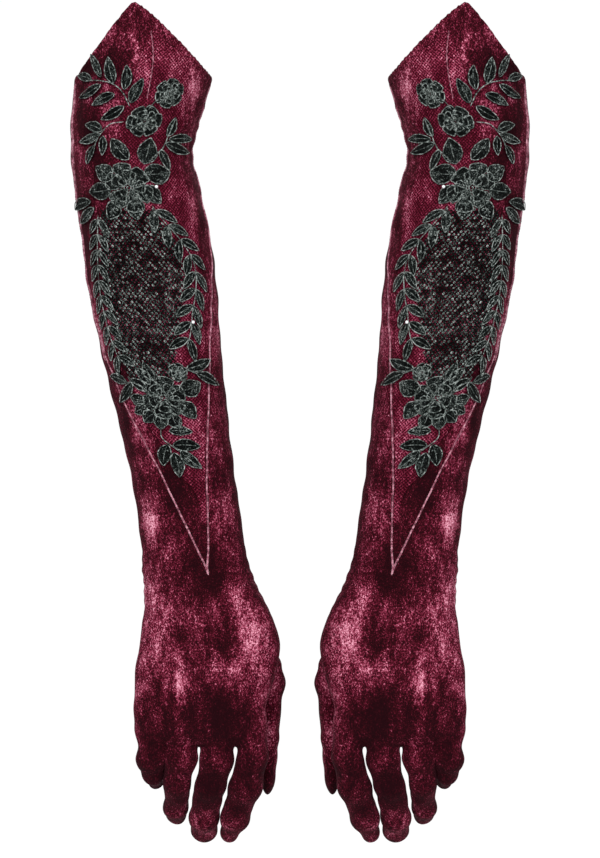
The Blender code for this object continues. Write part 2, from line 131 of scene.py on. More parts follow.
# Centre, half width and half depth at the thumb's root, base, knuckle, joint and pad
THUMB = [
    ((0.0550, 0.0030, -0.2860), 0.0100, 0.0090),
    ((0.0703, 0.0170, -0.3165), 0.0071, 0.0088),
    ((0.0716, 0.0182, -0.3300), 0.0078, 0.0087),
    ((0.0714, 0.0210, -0.3610), 0.0047, 0.0080),
    ((0.0706, 0.0225, -0.3790), 0.0042, 0.0072),
]
THUMB_TIP = (0.0692, 0.0238, -0.3925)
THUMB_BASE_STATION = 1
THUMB_JOINT_STATION = 3

# Where one piece of cloth hands over to the next
SLEEVE_CUT = -0.150
HAND_CUT = -0.300
THUMB_CUT = -0.3192
FINGER_CUT = -0.3656


# -------- shape

def smoothstep(low, high, value):
    share = np.clip((value - low) / (high - low), 0, 1)
    return share * share * (3 - 2 * share)


def along(table, height):
    """The table's columns at each height, on a smooth curve through its rows."""
    rows = table[::-1]
    steps = rows[:, 0]
    height = np.clip(np.asarray(height, float), steps[0], steps[-1])
    found = np.clip(np.searchsorted(steps, height) - 1, 0, len(steps) - 2)
    span = steps[found + 1] - steps[found]
    t = (height - steps[found]) / span
    columns = []
    for column in rows.T[1:]:
        slope = np.gradient(column, steps)
        columns.append((2 * t**3 - 3 * t**2 + 1) * column[found]
                       + (t**3 - 2 * t**2 + t) * span * slope[found]
                       + (3 * t**2 - 2 * t**3) * column[found + 1]
                       + (t**3 - t**2) * span * slope[found + 1])
    return columns


def squareness(height):
    """How square the arm's section is: an ellipse down to the wrist, fuller across the hand."""
    return 2 + 0.35 * smoothstep(-0.262, -0.310, height)


# How high the soft wrinkles are everywhere, and the creases at the elbow and wrist
SOFT_FOLD = 0.00022
CROSS_FOLD = 0.00018
CREASE = 0.00030


def folds(x, y, z):
    """How far wrinkles lift the cloth. Their waves are in radians per metre."""
    wander = 0.004 * np.sin(190 * x + 70 * z) + 0.003 * np.sin(230 * y - 95 * z + 1.3)
    soft = SOFT_FOLD * np.sin(310 * (z + wander) + 120 * x + 0.4)
    soft = soft + CROSS_FOLD * np.sin(205 * x - 260 * (z - wander) + 90 * y)
    elbow = np.exp(-((z - ELBOW_Z) / 0.020) ** 2) * smoothstep(-0.012, 0.028, x)
    elbow = CREASE * elbow * np.sin(820 * (z + wander) + 60 * x)
    wrist = np.exp(-((z - WRIST_Z + 0.004) / 0.016) ** 2)
    wrist = CREASE * wrist * np.sin(900 * (z + 0.6 * wander) - 130 * x)
    return soft + elbow + wrist


def signed_power(value, power):
    return np.sign(value) * np.abs(value) ** power


def on_arm(height, angle, lift=0.0):
    """Points on the velvet at heights and angles in degrees, lifted off it."""
    height, angle = np.broadcast_arrays(np.asarray(height, float), np.asarray(angle, float))
    centre, half_width, half_depth = along(ARM, height)
    power = squareness(height)
    turn = np.radians(angle)
    across = signed_power(np.sin(turn), 2 / power)
    deep = -signed_power(np.cos(turn), 2 / power)
    x = centre + half_width * across
    y = half_depth * deep
    normal_x = signed_power(across, power - 1) / half_width
    normal_y = signed_power(deep, power - 1) / half_depth
    length = np.hypot(normal_x, normal_y)
    lift = lift + folds(x, y, height)
    return np.stack([x + normal_x / length * lift, y + normal_y / length * lift, height], -1)


def panel_angle(share, height):
    """The angle at a share of the lace panel's width, from its left edge to its right one."""
    left, right = along(PANEL_EDGES, height)
    return left + share * (right - left)


def top_edge(angle):
    """The pointed top edge: highest at the peak, level at the sides and behind."""
    left, peak, right = (math.sin(math.radians(float(panel_angle(share, 0))))
                         for share in (0, PEAK_SHARE, 1))
    here = np.sin(np.radians(angle))
    side = np.where(here < peak, left, right)
    away = np.clip(np.abs((here - peak) / (side - peak)), 0, 1)
    front = (angle > panel_angle(0, 0)) & (angle < panel_angle(1, 0))
    return EDGE_HEIGHT + np.where(front, PEAK_HEIGHT * (1 - away**PEAK_POWER), 0)


# -------- the hand as one smooth field

# How softly the hand's parts run into each other
LIMB_BLEND = 0.0030
FINGER_WEB = 0.0050
PALM_END = -0.3628
PALM_ROUNDING = 0.012
THUMB_WEB = 0.0085
THUMB_WEB_SPAN = (-0.322, -0.302)
THUMB_SINK = 0.0145  # how far the thumb sinks into the palm where the sleeve takes over
HAND_STEP = 0.0008
LEAST_STEEPNESS = 12  # keeps distances sensible far inside the palm


def slope(degrees):
    """The way that runs down, turned so far towards the palm."""
    turn = math.radians(degrees)
    return np.array((0.0, math.sin(turn), -math.cos(turn)))


def finger_stations(name):
    """A finger's knuckle, middle joint, end joint and tip."""
    across, _, _, lengths, slopes, _ = FINGERS[name]
    stations = [np.array((across[0], 0.0, FINGER_Z))]
    for place, length, degrees in zip(across[1:], lengths, slopes):
        reached = stations[-1] + length * slope(degrees)
        reached[0] = place
        stations.append(reached)
    return stations


def finger_chain(name):
    """A finger as stations: centre, half width and half depth at its root inside the palm, its
    knuckle, its two joints and its pad."""
    _, widths, depth, _, _, (reach, narrowing) = FINGERS[name]
    knuckle, middle, end, tip = finger_stations(name)
    root = knuckle + np.array((0, 0.0002, 0.020))
    return [(root, widths[0] * 0.80, depth * 1.02),
            (knuckle, widths[0], depth * 1.06),
            (middle, widths[1], depth),
            (end, widths[2], depth * 0.95),
            (end + reach * (tip - end), widths[2] * narrowing, depth * 0.80)]


def limb(points, chain, tip):
    """Distance to a row of oval sections, rounded off so that it ends at the tip."""
    for number, (first, second) in enumerate(zip(chain, chain[1:])):
        start, start_width, start_depth = first
        end, end_width, end_depth = second
        length = np.linalg.norm(end - start)
        down = (end - start) / length
        wide = np.array((1.0, 0, 0)) - down[0] * down
        wide /= np.linalg.norm(wide)
        deep = np.cross(down, wide)
        offset = points - start
        t = offset @ down
        share = np.clip(t / length, 0, 1)
        width = start_width + share * (end_width - start_width)
        depth = start_depth + share * (end_depth - start_depth)
        last = number == len(chain) - 2
        cap = np.where(t > 0, np.linalg.norm(tip - end) if last else width, width)
        parts = np.stack([(offset @ wide) / width, (offset @ deep) / depth,
                          (t - share * length) / cap], -1)
        size = np.sqrt((parts**2).sum(-1)) + 1e-9
        steep = np.sqrt((parts[..., 0] / width) ** 2 + (parts[..., 1] / depth) ** 2
                        + (parts[..., 2] / cap) ** 2) / size
        distance = (size - 1) / np.maximum(steep, 1 / (2 * np.maximum(width, depth)))
        nearest = soft_least(nearest, distance, LIMB_BLEND) if number else distance
    return nearest


def soft_least(a, b, reach):
    """The smaller of two distances, rounded where they are alike."""
    mix = np.clip(0.5 + 0.5 * (b - a) / reach, 0, 1)
    return b + (a - b) * mix - reach * mix * (1 - mix)


def palm_distance(points):
    """Distance to the palm, rounded off where the fingers leave it."""
    x, y, z = np.moveaxis(points, -1, 0)
    centre, half_width, half_depth = along(ARM, z)
    power = squareness(z)
    across = np.abs((x - centre) / half_width)
    deep = np.abs(y / half_depth)
    size = (across**power + deep**power) ** (1 / power) + 1e-9
    steep = np.hypot(across ** (power - 1) / half_width, deep ** (power - 1) / half_depth)
    steep = steep * size ** (1 - power)
    distance = (size - 1) / np.maximum(steep, LEAST_STEEPNESS)
    return -soft_least(-distance, z - PALM_END, PALM_ROUNDING)


def finger_distance(name, points):
    """Distance to a gloved finger, with the web where it leaves the palm."""
    finger = limb(points, finger_chain(name), finger_stations(name)[-1])
    return soft_least(palm_distance(points), finger, FINGER_WEB)


def thumb_distance(points):
    """Distance to the gloved thumb."""
    chain = [(np.array(centre), width, depth) for centre, width, depth in THUMB]
    return limb(points, chain, np.array(THUMB_TIP))


def hand_distance(points):
    """Distance to the palm, the fingers' roots and the thumb's, which ends at its cut."""
    z = points[..., 2]
    whole = palm_distance(points)
    for name in FINGERS:
        whole = np.minimum(whole, finger_distance(name, points))
    web = 0.0002 + THUMB_WEB * smoothstep(*THUMB_WEB_SPAN, z)
    rise = np.clip((z - THUMB_CUT) / (HAND_CUT - THUMB_CUT), 0, 1)
    joined = soft_least(whole, thumb_distance(points) + THUMB_SINK * rise**1.6, web)
    return np.where(z > THUMB_CUT - HAND_STEP * 0.4, joined, whole)


def steepest(field, points, reach=0.00012):
    """The field's value and gradient at points."""
    value = field(points)
    gradient = np.empty_like(points)
    for axis in range(3):
        step = np.zeros(3)
        step[axis] = reach
        gradient[..., axis] = (field(points + step) - field(points - step)) / (2 * reach)
    return value, gradient


def net_surface(field, low, high, step):
    """A quad mesh of the field's zero surface, one point in each cell that it crosses.

    Returns the points, the quads and the layer of cells that each point is in."""
    axes = [np.arange(a, b + step / 2, step) for a, b in zip(low, high)]
    grid = np.stack(np.meshgrid(*axes, indexing="ij"), -1)
    values = np.concatenate([field(slab) for slab in np.array_split(grid, 12)])
    cells = [len(axis) - 1 for axis in axes]
    sums = np.zeros((*cells, 3))
    count = np.zeros(cells, int)
    crossings = []
    for axis in range(3):
        ahead = np.moveaxis(values, axis, 0)
        here, there = ahead[:-1], ahead[1:]
        crossed = np.moveaxis((here < 0) != (there < 0), 0, axis)
        share = np.moveaxis(here / np.where(here == there, 1, here - there), 0, axis)
        crossings.append((crossed, np.moveaxis(here < 0, 0, axis)))
        for sides in ((0, 0), (1, 0), (0, 1), (1, 1)):
            offset = np.insert(sides, axis, 0)
            window = tuple(slice(side, side + size) for side, size in zip(offset, cells))
            where = np.broadcast_to(offset, (*cells, 3)).astype(float)
            where[..., axis] = share[window]
            sums += np.where(crossed[window][..., None], where, 0)
            count += crossed[window]
    used = count > 0
    number = np.full(used.shape, -1)
    number[used] = np.arange(used.sum())
    found = np.argwhere(used)
    points = np.array(low) + (found + sums[used] / count[used][:, None]) * step
    faces = []
    for axis, (crossed, inner) in enumerate(crossings):
        one, two = np.delete(np.eye(3, dtype=int), axis, 0)
        window = tuple(slice(side, size - side) for side, size in zip(one + two, crossed.shape))
        spots = np.argwhere(crossed[window]) + one + two
        quad = np.stack([number[tuple((spots - shift).T)] for shift in (0, one, one + two, two)], -1)
        flip = inner[tuple(spots.T)] == (axis == 1)
        quad[flip] = quad[flip][:, ::-1]
        faces.append(quad)
    return points, np.concatenate(faces), found[:, 2]


def point_normals(points, faces):
    """Each point's normal, from the faces round it."""
    corners = points[faces]
    across = np.cross(corners[:, 2] - corners[:, 0], corners[:, 3] - corners[:, 1])
    normals = np.zeros_like(points)
    for column in faces.T:
        np.add.at(normals, column, across)
    return normals / np.maximum(np.linalg.norm(normals, axis=1, keepdims=True), 1e-12)


# -------- pieces

# Spots of painted sheen on the pile, or painted shade where the strength is below 0, on the back
# of the glove: across, height, the spread of each, strength
SHEEN_AND_SHADE_SPOTS = [
    (0.0105, -0.293, 0.011, 0.026, 1.0),
    (0.0560, -0.277, 0.009, 0.013, 0.8),
    (0.0610, -0.302, 0.009, 0.020, 0.9),
    (0.0480, -0.321, 0.008, 0.006, 0.9),
    (0.0700, -0.345, 0.003, 0.018, 0.9),
    (0.0330, -0.343, 0.040, 0.013, -0.75),
    (0.0330, -0.388, 0.050, 0.030, -0.70),
    (0.0430, -0.371, 0.005, 0.006, 0.9),
    (0.0215, -0.334, 0.003, 0.014, 1.0),
    (0.0330, -0.312, 0.020, 0.010, 0.35),
    (0.0355, -0.274, 0.009, 0.014, -0.9),
    (0.0050, -0.239, 0.005, 0.011, 0.8),
    (0.0005, -0.189, 0.004, 0.012, 0.6),
    (0.0480, -0.225, 0.004, 0.012, 0.8),
    (0.0430, -0.197, 0.004, 0.010, 0.6),
    (0.0170, -0.222, 0.008, 0.010, -0.7),
    (0.0280, -0.262, 0.005, 0.016, -0.5),
    (-0.0060, 0.025, 0.006, 0.008, 0.9),
    (0.0205, 0.010, 0.006, 0.006, 0.7),
    (0.0300, -0.001, 0.005, 0.008, 0.8),
    (0.0260, -0.018, 0.005, 0.009, 0.6),
    (0.0300, -0.064, 0.004, 0.012, 0.9),
    (-0.0310, -0.037, 0.003, 0.009, 0.7),
    (-0.0165, -0.002, 0.004, 0.005, 0.9),
    (-0.0110, -0.010, 0.004, 0.005, 0.8),
    (-0.0270, -0.020, 0.004, 0.010, -0.8),
    (-0.0200, -0.045, 0.005, 0.006, -0.8),
    (-0.0220, 0.012, 0.008, 0.005, -0.6),
]


def painted_sheen_and_shade(points):
    """How pale the pile is painted at each point, about -1 to 1: painted sheen, and painted shade
    below 0, at the front and on the fingers.
    """
    x, y, z = points.T
    facing = smoothstep(0.006, -0.006, y)
    facing = np.maximum(facing, smoothstep(FINGER_CUT, FINGER_CUT - 0.008, z))
    return sum(strength * np.exp(-((x - across) / wide) ** 2 - ((z - height) / tall) ** 2) * facing
               for across, height, wide, tall, strength in SHEEN_AND_SHADE_SPOTS)


def add_piece(side, name, shape, slot, *materials):
    """One piece of the glove, from its points, its faces and, where they are known, its normals.

    Its place at rest and its painted sheen and shade are kept as attributes for its material."""
    points, faces, *known = shape
    listed = faces.tolist()
    shown = points
    if side == "left":
        shown = points * MIRROR + (PAIR_SPACING, 0, 0)
        listed = [face[::-1] for face in listed]
    mesh = bpy.data.meshes.new(f"{side}_{name}")
    mesh.from_pydata(shown.tolist(), [], listed)
    mesh.polygons.foreach_set("use_smooth", [True] * len(mesh.polygons))
    rest = mesh.attributes.new("rest", "FLOAT_VECTOR", "POINT")
    rest.data.foreach_set("vector", points.astype(np.float32).ravel())
    pale = mesh.attributes.new("painted_sheen_and_shade", "FLOAT", "POINT")
    pale.data.foreach_set("value", painted_sheen_and_shade(points).astype(np.float32))
    for normals in known:
        turned = normals * MIRROR if side == "left" else normals
        mesh.normals_split_custom_set_from_vertices(turned.tolist())
    for material in materials:
        mesh.materials.append(material)
    piece = bpy.data.objects.new(mesh.name, mesh)
    bpy.context.scene.collection.objects.link(piece)
    return piece


def hold(piece, side, bodies, zone, *nodes):
    """Attach a piece to the body that carries it; where a stretch between two bodies is given, only
    bake its place and leave it unattached. Hide the nodes of the model that it stands for."""
    carriers = [f"{side}_{body}" for body in bodies]
    if zone:
        start, end = [(PAIR_SPACING - x if side == "left" else x, y, z) for x, y, z in zone]
        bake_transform(piece)
        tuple(start)
        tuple(end)
    else:
        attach(piece, *carriers)
    if nodes:
        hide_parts(*[f"{side}_{node}" for node in nodes])


# Each place that several pieces share: its bodies, and from where to where it bends
ELBOW_X = float(along(ARM, ELBOW_Z)[0])
WRIST_X = float(along(ARM, WRIST_Z)[0])
ELBOW = (("upper", "forearm"), ((ELBOW_X, 0, -0.003), (ELBOW_X, 0, -0.063)))
WRIST = (("forearm", "hand"), ((WRIST_X, 0, -0.242), (WRIST_X, 0, -0.292)))
FOREARM = (("forearm",), None)


# -------- materials

def paint(code):
    """A colour from its six hexadecimal digits, as the shader takes it."""
    values = [int(code[place:place + 2], 16) / 255 for place in (0, 2, 4)]
    linear = [value / 12.92 if value <= 0.04045 else ((value + 0.055) / 1.055) ** 2.4
              for value in values]
    return (*linear, 1)


class Shader:
    """A material's node tree, with short calls for the nodes that these materials use."""

    def __init__(self, name, **constants):
        self.material = bpy.data.materials.new(name)
        self.material.use_nodes = True
        self.tree = self.material.node_tree
        self.surface = self.tree.nodes["Principled BSDF"]
        for socket, value in constants.items():
            self.surface.inputs[socket.replace("_", " ")].default_value = value
        self.place = self.attribute("rest")

    def node(self, kind, **settings):
        made = self.tree.nodes.new(kind)
        for key, value in settings.items():
            setattr(made, key, value)
        return made

    def attribute(self, name, output="Vector"):
        return self.node("ShaderNodeAttribute", attribute_name=name).outputs[output]

    def feed(self, socket, value):
        if isinstance(value, bpy.types.NodeSocket):
            self.tree.links.new(value, socket)
        else:
            socket.default_value = value

    def stretched(self, scale):
        mapping = self.node("ShaderNodeMapping")
        self.feed(mapping.inputs["Vector"], self.place)
        mapping.inputs["Scale"].default_value = scale
        return mapping.outputs["Vector"]

    def noise(self, size, detail=2.0, roughness=0.5, distortion=0.0, stretch=(1, 1, 1)):
        """Noise whose features are about size metres across."""
        made = self.node("ShaderNodeTexNoise")
        self.feed(made.inputs["Vector"], self.stretched(stretch))
        for socket, value in (("Scale", 1 / size), ("Detail", detail), ("Roughness", roughness),
                              ("Distortion", distortion)):
            made.inputs[socket].default_value = value
        return made.outputs["Fac"]

    def maths(self, operation, a, b=0.0, c=0.0):
        made = self.node("ShaderNodeMath", operation=operation)
        for socket, value in zip(made.inputs, (a, b, c)):
            self.feed(socket, value)
        return made.outputs[0]

    def scaled(self, value, factor, plus=0.0):
        return self.maths("MULTIPLY_ADD", value, factor, plus)

    def remap(self, value, low, high, to_low=0.0, to_high=1.0):
        made = self.node("ShaderNodeMapRange", interpolation_type="SMOOTHSTEP")
        for socket, number in zip(made.inputs, (value, low, high, to_low, to_high)):
            self.feed(socket, number)
        return made.outputs[0]

    def coloured(self, value, *stops):
        """The surface's colour, from a value and the ramp's stops."""
        made = self.node("ShaderNodeValToRGB")
        steps = made.color_ramp.elements
        while len(steps) < len(stops):
            steps.new(0.5)
        for step, (position, code) in zip(steps, stops):
            step.position = position
            step.color = paint(code)
        self.feed(made.inputs["Fac"], value)
        self.feed(self.surface.inputs["Base Color"], made.outputs["Color"])

    def rough(self, *value_and_range):
        self.feed(self.surface.inputs["Roughness"], self.remap(*value_and_range))

    def drawn_place(self):
        """A stitched piece's own coordinates: along it and across it."""
        parts = self.node("ShaderNodeSeparateXYZ")
        self.feed(parts.inputs[0], self.attribute("stitch"))
        return parts.outputs["X"], parts.outputs["Y"]

    def waves(self, lean, pitch):
        """Stripes across a stitched piece, leaning so far to one side, from -1 to 1."""
        along_it, across = self.drawn_place()
        slant = self.scaled(across, lean, plus=along_it)
        return self.maths("SINE", self.scaled(slant, 2 * math.pi / pitch))

    def bump(self, height, distance, strength=1.0):
        made = self.node("ShaderNodeBump")
        made.inputs["Distance"].default_value = distance
        made.inputs["Strength"].default_value = strength
        self.feed(made.inputs["Height"], height)
        self.feed(self.surface.inputs["Normal"], made.outputs["Normal"])


# The pile's colours, from deep burgundy to the pale pink of the painted sheen on the crushed pile
PILE_AND_SHEEN = ((0.0, "1b0308"), (0.28, "33060f"), (0.52, "560f23"), (0.72, "8a3049"), (0.88, "b8647c"),
        (1.0, "e2a3b4"))


def crushed_pile(cloth):
    """How pale the crushed pile is painted, 0 to 1, as patches of painted sheen, and its relief."""
    patches = cloth.noise(0.019, detail=3.0, roughness=0.55, distortion=0.15, stretch=(1, 1, 0.48))
    crush = cloth.noise(0.0052, detail=6.0, roughness=0.72, distortion=0.10, stretch=(1, 1, 0.42))
    grain = cloth.noise(0.00075, roughness=0.9, stretch=(1, 1, 0.7))
    # Pale patches of painted sheen, in the random pattern of the crushed pile
    pale = cloth.scaled(crush, 1.25, plus=cloth.scaled(patches, 1.15))
    # Painted sheen and painted shade in spots on the back of the glove
    pale = cloth.scaled(cloth.attribute("painted_sheen_and_shade", "Fac"), 0.30, plus=pale)
    pale = cloth.scaled(cloth.maths("SUBTRACT", grain, 0.5), 2.1, plus=pale)
    relief = cloth.scaled(crush, 1.4, plus=cloth.scaled(grain, 0.7))
    return cloth.remap(pale, 0.80, 1.92), relief


def velvet_material():
    """Crushed velvet: deep burgundy, with painted sheen in pale pink patches."""
    cloth = Shader("crushed_velvet", Sheen_Weight=0.07, Sheen_Roughness=0.4,
                   Sheen_Tint=paint("c46a80"), Specular_IOR_Level=0.05)
    pale, relief = crushed_pile(cloth)
    cloth.coloured(pale, *PILE_AND_SHEEN)
    cloth.rough(pale, 0.0, 1.0, 0.95, 0.65)
    cloth.bump(relief, 0.0008, 0.8)
    return cloth.material


VELVET = velvet_material()


# -------- sleeve

SLEEVE_COLUMNS = 180
ROW = 0.0016
PEAK_ROWS = 12  # more rows, for the peak above height 0


def grid_faces(rows, columns, closed=True):
    """Quads between rows of points that go round, or across. With one row too many, the caller
    joins the last row to the first by taking the remainder."""
    row, column = np.meshgrid(np.arange(rows - 1), np.arange(columns if closed else columns - 1),
                              indexing="ij")
    after = (column + 1) % columns
    faces = np.stack([row * columns + column, (row + 1) * columns + column,
                      (row + 1) * columns + after, row * columns + after], -1)
    return faces.reshape(-1, 4)


def sleeve_heights(angles):
    """Row by row down the sleeve, each column's height: rows follow the top edge first."""
    top = top_edge(angles)
    upper_rows = int(round(-SLEEVE_CUT / ROW)) + PEAK_ROWS
    upper = top + np.linspace(0, 1, upper_rows + 1)[:, None] * (SLEEVE_CUT - top)
    lower_rows = int(round((SLEEVE_CUT - HAND_CUT) / ROW))
    lower = np.append(np.linspace(SLEEVE_CUT, HAND_CUT, lower_rows + 1)[1:], HAND_CUT - ROW)
    return np.concatenate([upper, lower[:, None] + 0 * angles]), upper_rows


def sleeve():
    """The tube from its pointed top to the hand, in two closed walls."""
    angles = np.linspace(-180, 180, SLEEVE_COLUMNS, endpoint=False)
    heights, cut_row = sleeve_heights(angles)
    outer, inner = on_arm(heights, angles), on_arm(heights, angles, -CLOTH)
    faces = grid_faces(len(heights), SLEEVE_COLUMNS)
    normals = point_normals(outer.reshape(-1, 3), faces).reshape(outer.shape)
    walls = []
    for first, last in ((0, cut_row), (cut_row, len(heights) - 2)):
        rows = slice(first, last + 1)
        points = np.concatenate([outer[rows], inner[rows][::-1]]).reshape(-1, 3)
        turned = np.concatenate([normals[rows], -normals[rows][::-1]]).reshape(-1, 3)
        closed_rows = len(points) // SLEEVE_COLUMNS + 1
        walls.append((points, grid_faces(closed_rows, SLEEVE_COLUMNS) % len(points), turned))
    return walls


# -------- hand, fingers and thumb

# Half the length of the stretch that bends at each digit's joint
ZONE = {"index": 0.0062, "middle": 0.0062, "ring": 0.0052, "little": 0.0040, "thumb": 0.0070}
HANDOVER = 0.0006
DIGIT_ROOM = 0.0135  # round a digit's own line, for its grid
DIGIT_REACH = 0.02  # across from a digit's line, past which a face is its neighbour's
CUT_ROOM = 0.003  # past a cut, for the grid
HAND_LOW = (-0.010, -0.024)  # the hand's grid, across and deep
HAND_HIGH = (0.0845, 0.034)
THUMB_BEND = (0.0030, 0.013)  # where the thumb starts and stops turning, from its base
SETTLING = 5  # steps that bring a mesh's points onto its surface


def on_layers(height):
    """The height snapped so that cells are centred on the hand's cut."""
    return HAND_CUT + (round((height - HAND_CUT) / HAND_STEP) - 0.5) * HAND_STEP


def field_mesh(distance, low, high, cuts):
    """A field's surface, flat at the cuts: its points, faces, normals and their grid layers."""
    def field(points):
        return distance(points) - folds(*np.moveaxis(points, -1, 0))

    low = (low[0], low[1], on_layers(low[2]))
    points, faces, layer = net_surface(field, low, high, HAND_STEP)
    cut_layers = [int(round((cut - low[2]) / HAND_STEP - 0.5)) for cut in cuts]
    flat = (layer[faces][:, :1] == layer[faces]).all(1) & np.isin(layer[faces][:, 0], cut_layers)
    faces = faces[~flat]
    for cut, cut_layer in zip(cuts, cut_layers):
        points[layer == cut_layer, 2] = cut
    fixed = np.isin(layer, cut_layers)
    for _ in range(SETTLING):
        value, gradient = steepest(field, points)
        gradient[fixed, 2] = 0
        steep = np.maximum((gradient**2).sum(-1, keepdims=True), 0.05)
        step = value[:, None] * gradient / steep
        points = points - np.clip(step, -HAND_STEP, HAND_STEP)
    _, gradient = steepest(field, points)
    normals = gradient / np.maximum(np.linalg.norm(gradient, axis=-1, keepdims=True), 1e-9)
    return points, faces, normals, layer, cut_layers


def subset(points, faces, normals, chosen):
    """The part of a mesh whose faces are chosen."""
    faces = faces[chosen]
    used, numbers = np.unique(faces, return_inverse=True)
    return points[used], numbers.reshape(faces.shape), normals[used]


def joint_plane(name):
    """A digit's bending joint: its place and the way the digit runs there."""
    if name == "thumb":
        place = np.array(THUMB[THUMB_JOINT_STATION][0])
        way = place - np.array(THUMB[THUMB_JOINT_STATION - 1][0])
        return place, way / np.linalg.norm(way)
    slopes = FINGERS[name][4]
    return finger_stations(name)[1], slope((slopes[0] + slopes[1]) / 2)


def hand_mesh():
    """The palm and the back of the hand, open where the sleeve, fingers and thumb begin."""
    low, high = (*HAND_LOW, FINGER_CUT - CUT_ROOM), (*HAND_HIGH, HAND_CUT + CUT_ROOM)
    points, faces, normals, layer, cuts = field_mesh(hand_distance, low, high,
                                                     (HAND_CUT, FINGER_CUT, THUMB_CUT))
    levels = layer[faces]
    kept = (levels <= cuts[0]).all(1) & (levels >= cuts[1]).all(1)
    return subset(points, faces, normals, kept)


def digit_meshes(name):
    """A digit's base and tip, divided before its bending joint."""
    if name == "thumb":
        places = np.array([centre for centre, _, _ in THUMB] + [THUMB_TIP])
        cut, distance = THUMB_CUT, thumb_distance
    else:
        places = np.array(finger_stations(name))
        cut, distance = FINGER_CUT, lambda points: finger_distance(name, points)
    low, high = places.min(0) - DIGIT_ROOM, places.max(0) + DIGIT_ROOM
    high[2] = cut + CUT_ROOM
    points, faces, normals, layer, cuts = field_mesh(distance, low, high, (cut,))
    below = (layer[faces] <= cuts[0]).all(1)
    place, way = joint_plane(name)
    middle = points[faces].mean(1)
    past = (middle - place) @ way > -ZONE[name] - HANDOVER
    near = np.abs(middle[:, 0] - places[:, 0].mean()) < DIGIT_REACH
    return [subset(points, faces, normals, below & near & part) for part in (~past, past)]


def digit_zones(name):
    """Where a digit's base starts and stops turning with it, and the same for its tip."""
    place, way = joint_plane(name)
    half = ZONE[name]
    tip = (place - half * way, place + half * way)
    if name == "thumb":
        base = np.array(THUMB[THUMB_BASE_STATION][0])
        run = np.array(THUMB[THUMB_BASE_STATION + 1][0]) - base
        run = run / np.linalg.norm(run)
        return [base + reach * run for reach in THUMB_BEND], tip
    knuckle = finger_stations(name)[0]
    depth = FINGERS[name][2]
    palm_side = np.array((0, -way[2], way[1]))
    reach = place - (half + HANDOVER) * way + depth * palm_side
    stop = min(reach[2] + 0.0002, FINGER_CUT - 0.004)
    return ((knuckle[0], 0, FINGER_CUT), (knuckle[0], 0, stop)), tip


def make_cloth(side):
    """The velvet of the sleeve, the hand and its digits."""
    above = add_piece(side, "sleeve_above", WALLS[0], "velvet", VELVET)
    hold(above, side, *ELBOW, "upper_lace_panel", "upper_sleeve")
    below = add_piece(side, "sleeve_below", WALLS[1], "velvet", VELVET)
    hold(below, side, *WRIST, "lace_panel", "thumb_side_panel", "outer_side_panel")
    hand = add_piece(side, "hand_cloth", HAND, "velvet", VELVET)
    hold(hand, side, ("hand",), None, "hand_back", "hand_palm", "thumb_gusset")
    for digit, shapes in DIGITS.items():
        carrier = "hand"
        for part, shape, zone in zip(("base", "tip"), shapes, digit_zones(digit)):
            node = f"{digit}_{part}"
            hold(add_piece(side, f"{node}_cloth", shape, "velvet", VELVET), side,
                 (carrier, node), zone, node)
            carrier = node


WALLS = sleeve()
HAND = hand_mesh()
DIGITS = {name: digit_meshes(name) for name in [*FINGERS, "thumb"]}
for side in ("right", "left"):
    make_cloth(side)


# -------- threads and lace

# Lace is drawn flat, in metres round the arm from the back of the hand (towards the thumb) and
# up the arm, then laid on the velvet. Places below are millimetres across the arm as it is seen
# from the back, and height.
CORD = 0.00025
LEAF_REACH = 1.06
LEAF_FULLNESS = 1.16
LEAF_FRILL = 0.00010
LEAF_BOW = 0.0006
FILL_LIFT = 0.0011
CORD_LIFT = 0.0017
# How far a twisted cord's strands stand out, and how thin its ends are, as shares of its radius
STRAND_SWELL = 0.20
END_TAPER = 0.35
# A leaf's grid, its stitched ridges, its dome and the crease along its middle
PATCH_ROWS = 15
PATCH_COLUMNS = 9
RIDGE_PITCH = 0.0011
RIDGE = 0.00012
DOME = 0.00045
MIDRIB = 0.00016
OUTLINE = 16
FRILLS = 7  # waves round a petal's edge
ROSE_RINGS = ((6, 1.0), (5, 0.70), (4, 0.44))  # each ring's petals, and its share of the radius
# A knot's length, width and height as shares of its size, and how it leans, in radians
KNOT_LENGTH = 0.72
KNOT_WIDTH = 0.50
KNOT_HEIGHT = 0.42
KNOT_LEAN = 0.9


def mean_radius(height):
    """The arm's mean half width, which turns an angle into a distance round it."""
    _, half_width, half_depth = along(ARM, height)
    return (half_width + half_depth) / 2


def flat(across, height):
    """A place seen from the back, in millimetres, as flat lace coordinates."""
    z = height / 1000
    centre, half_width, _ = along(ARM, z)
    turn = math.asin(float(np.clip((across / 1000 - centre) / half_width, -0.98, 0.98)))
    return np.array((turn * float(mean_radius(z)), z))


def laid(drawn):
    """Flat lace coordinates and height above the velvet, laid on the arm."""
    angle = np.degrees(drawn[:, 0] / mean_radius(drawn[:, 1]))
    return on_arm(drawn[:, 1], angle, drawn[:, 2])


def smooth_path(corners, count):
    """An even, smooth line through a few corners."""
    corners = np.array(corners, float)
    reach = np.concatenate([[0], np.cumsum(np.linalg.norm(np.diff(corners, axis=0), axis=1))])
    steps = np.linspace(0, reach[-1], count)
    table = np.column_stack([reach, corners])[::-1]
    return np.stack(along(table, steps), -1)


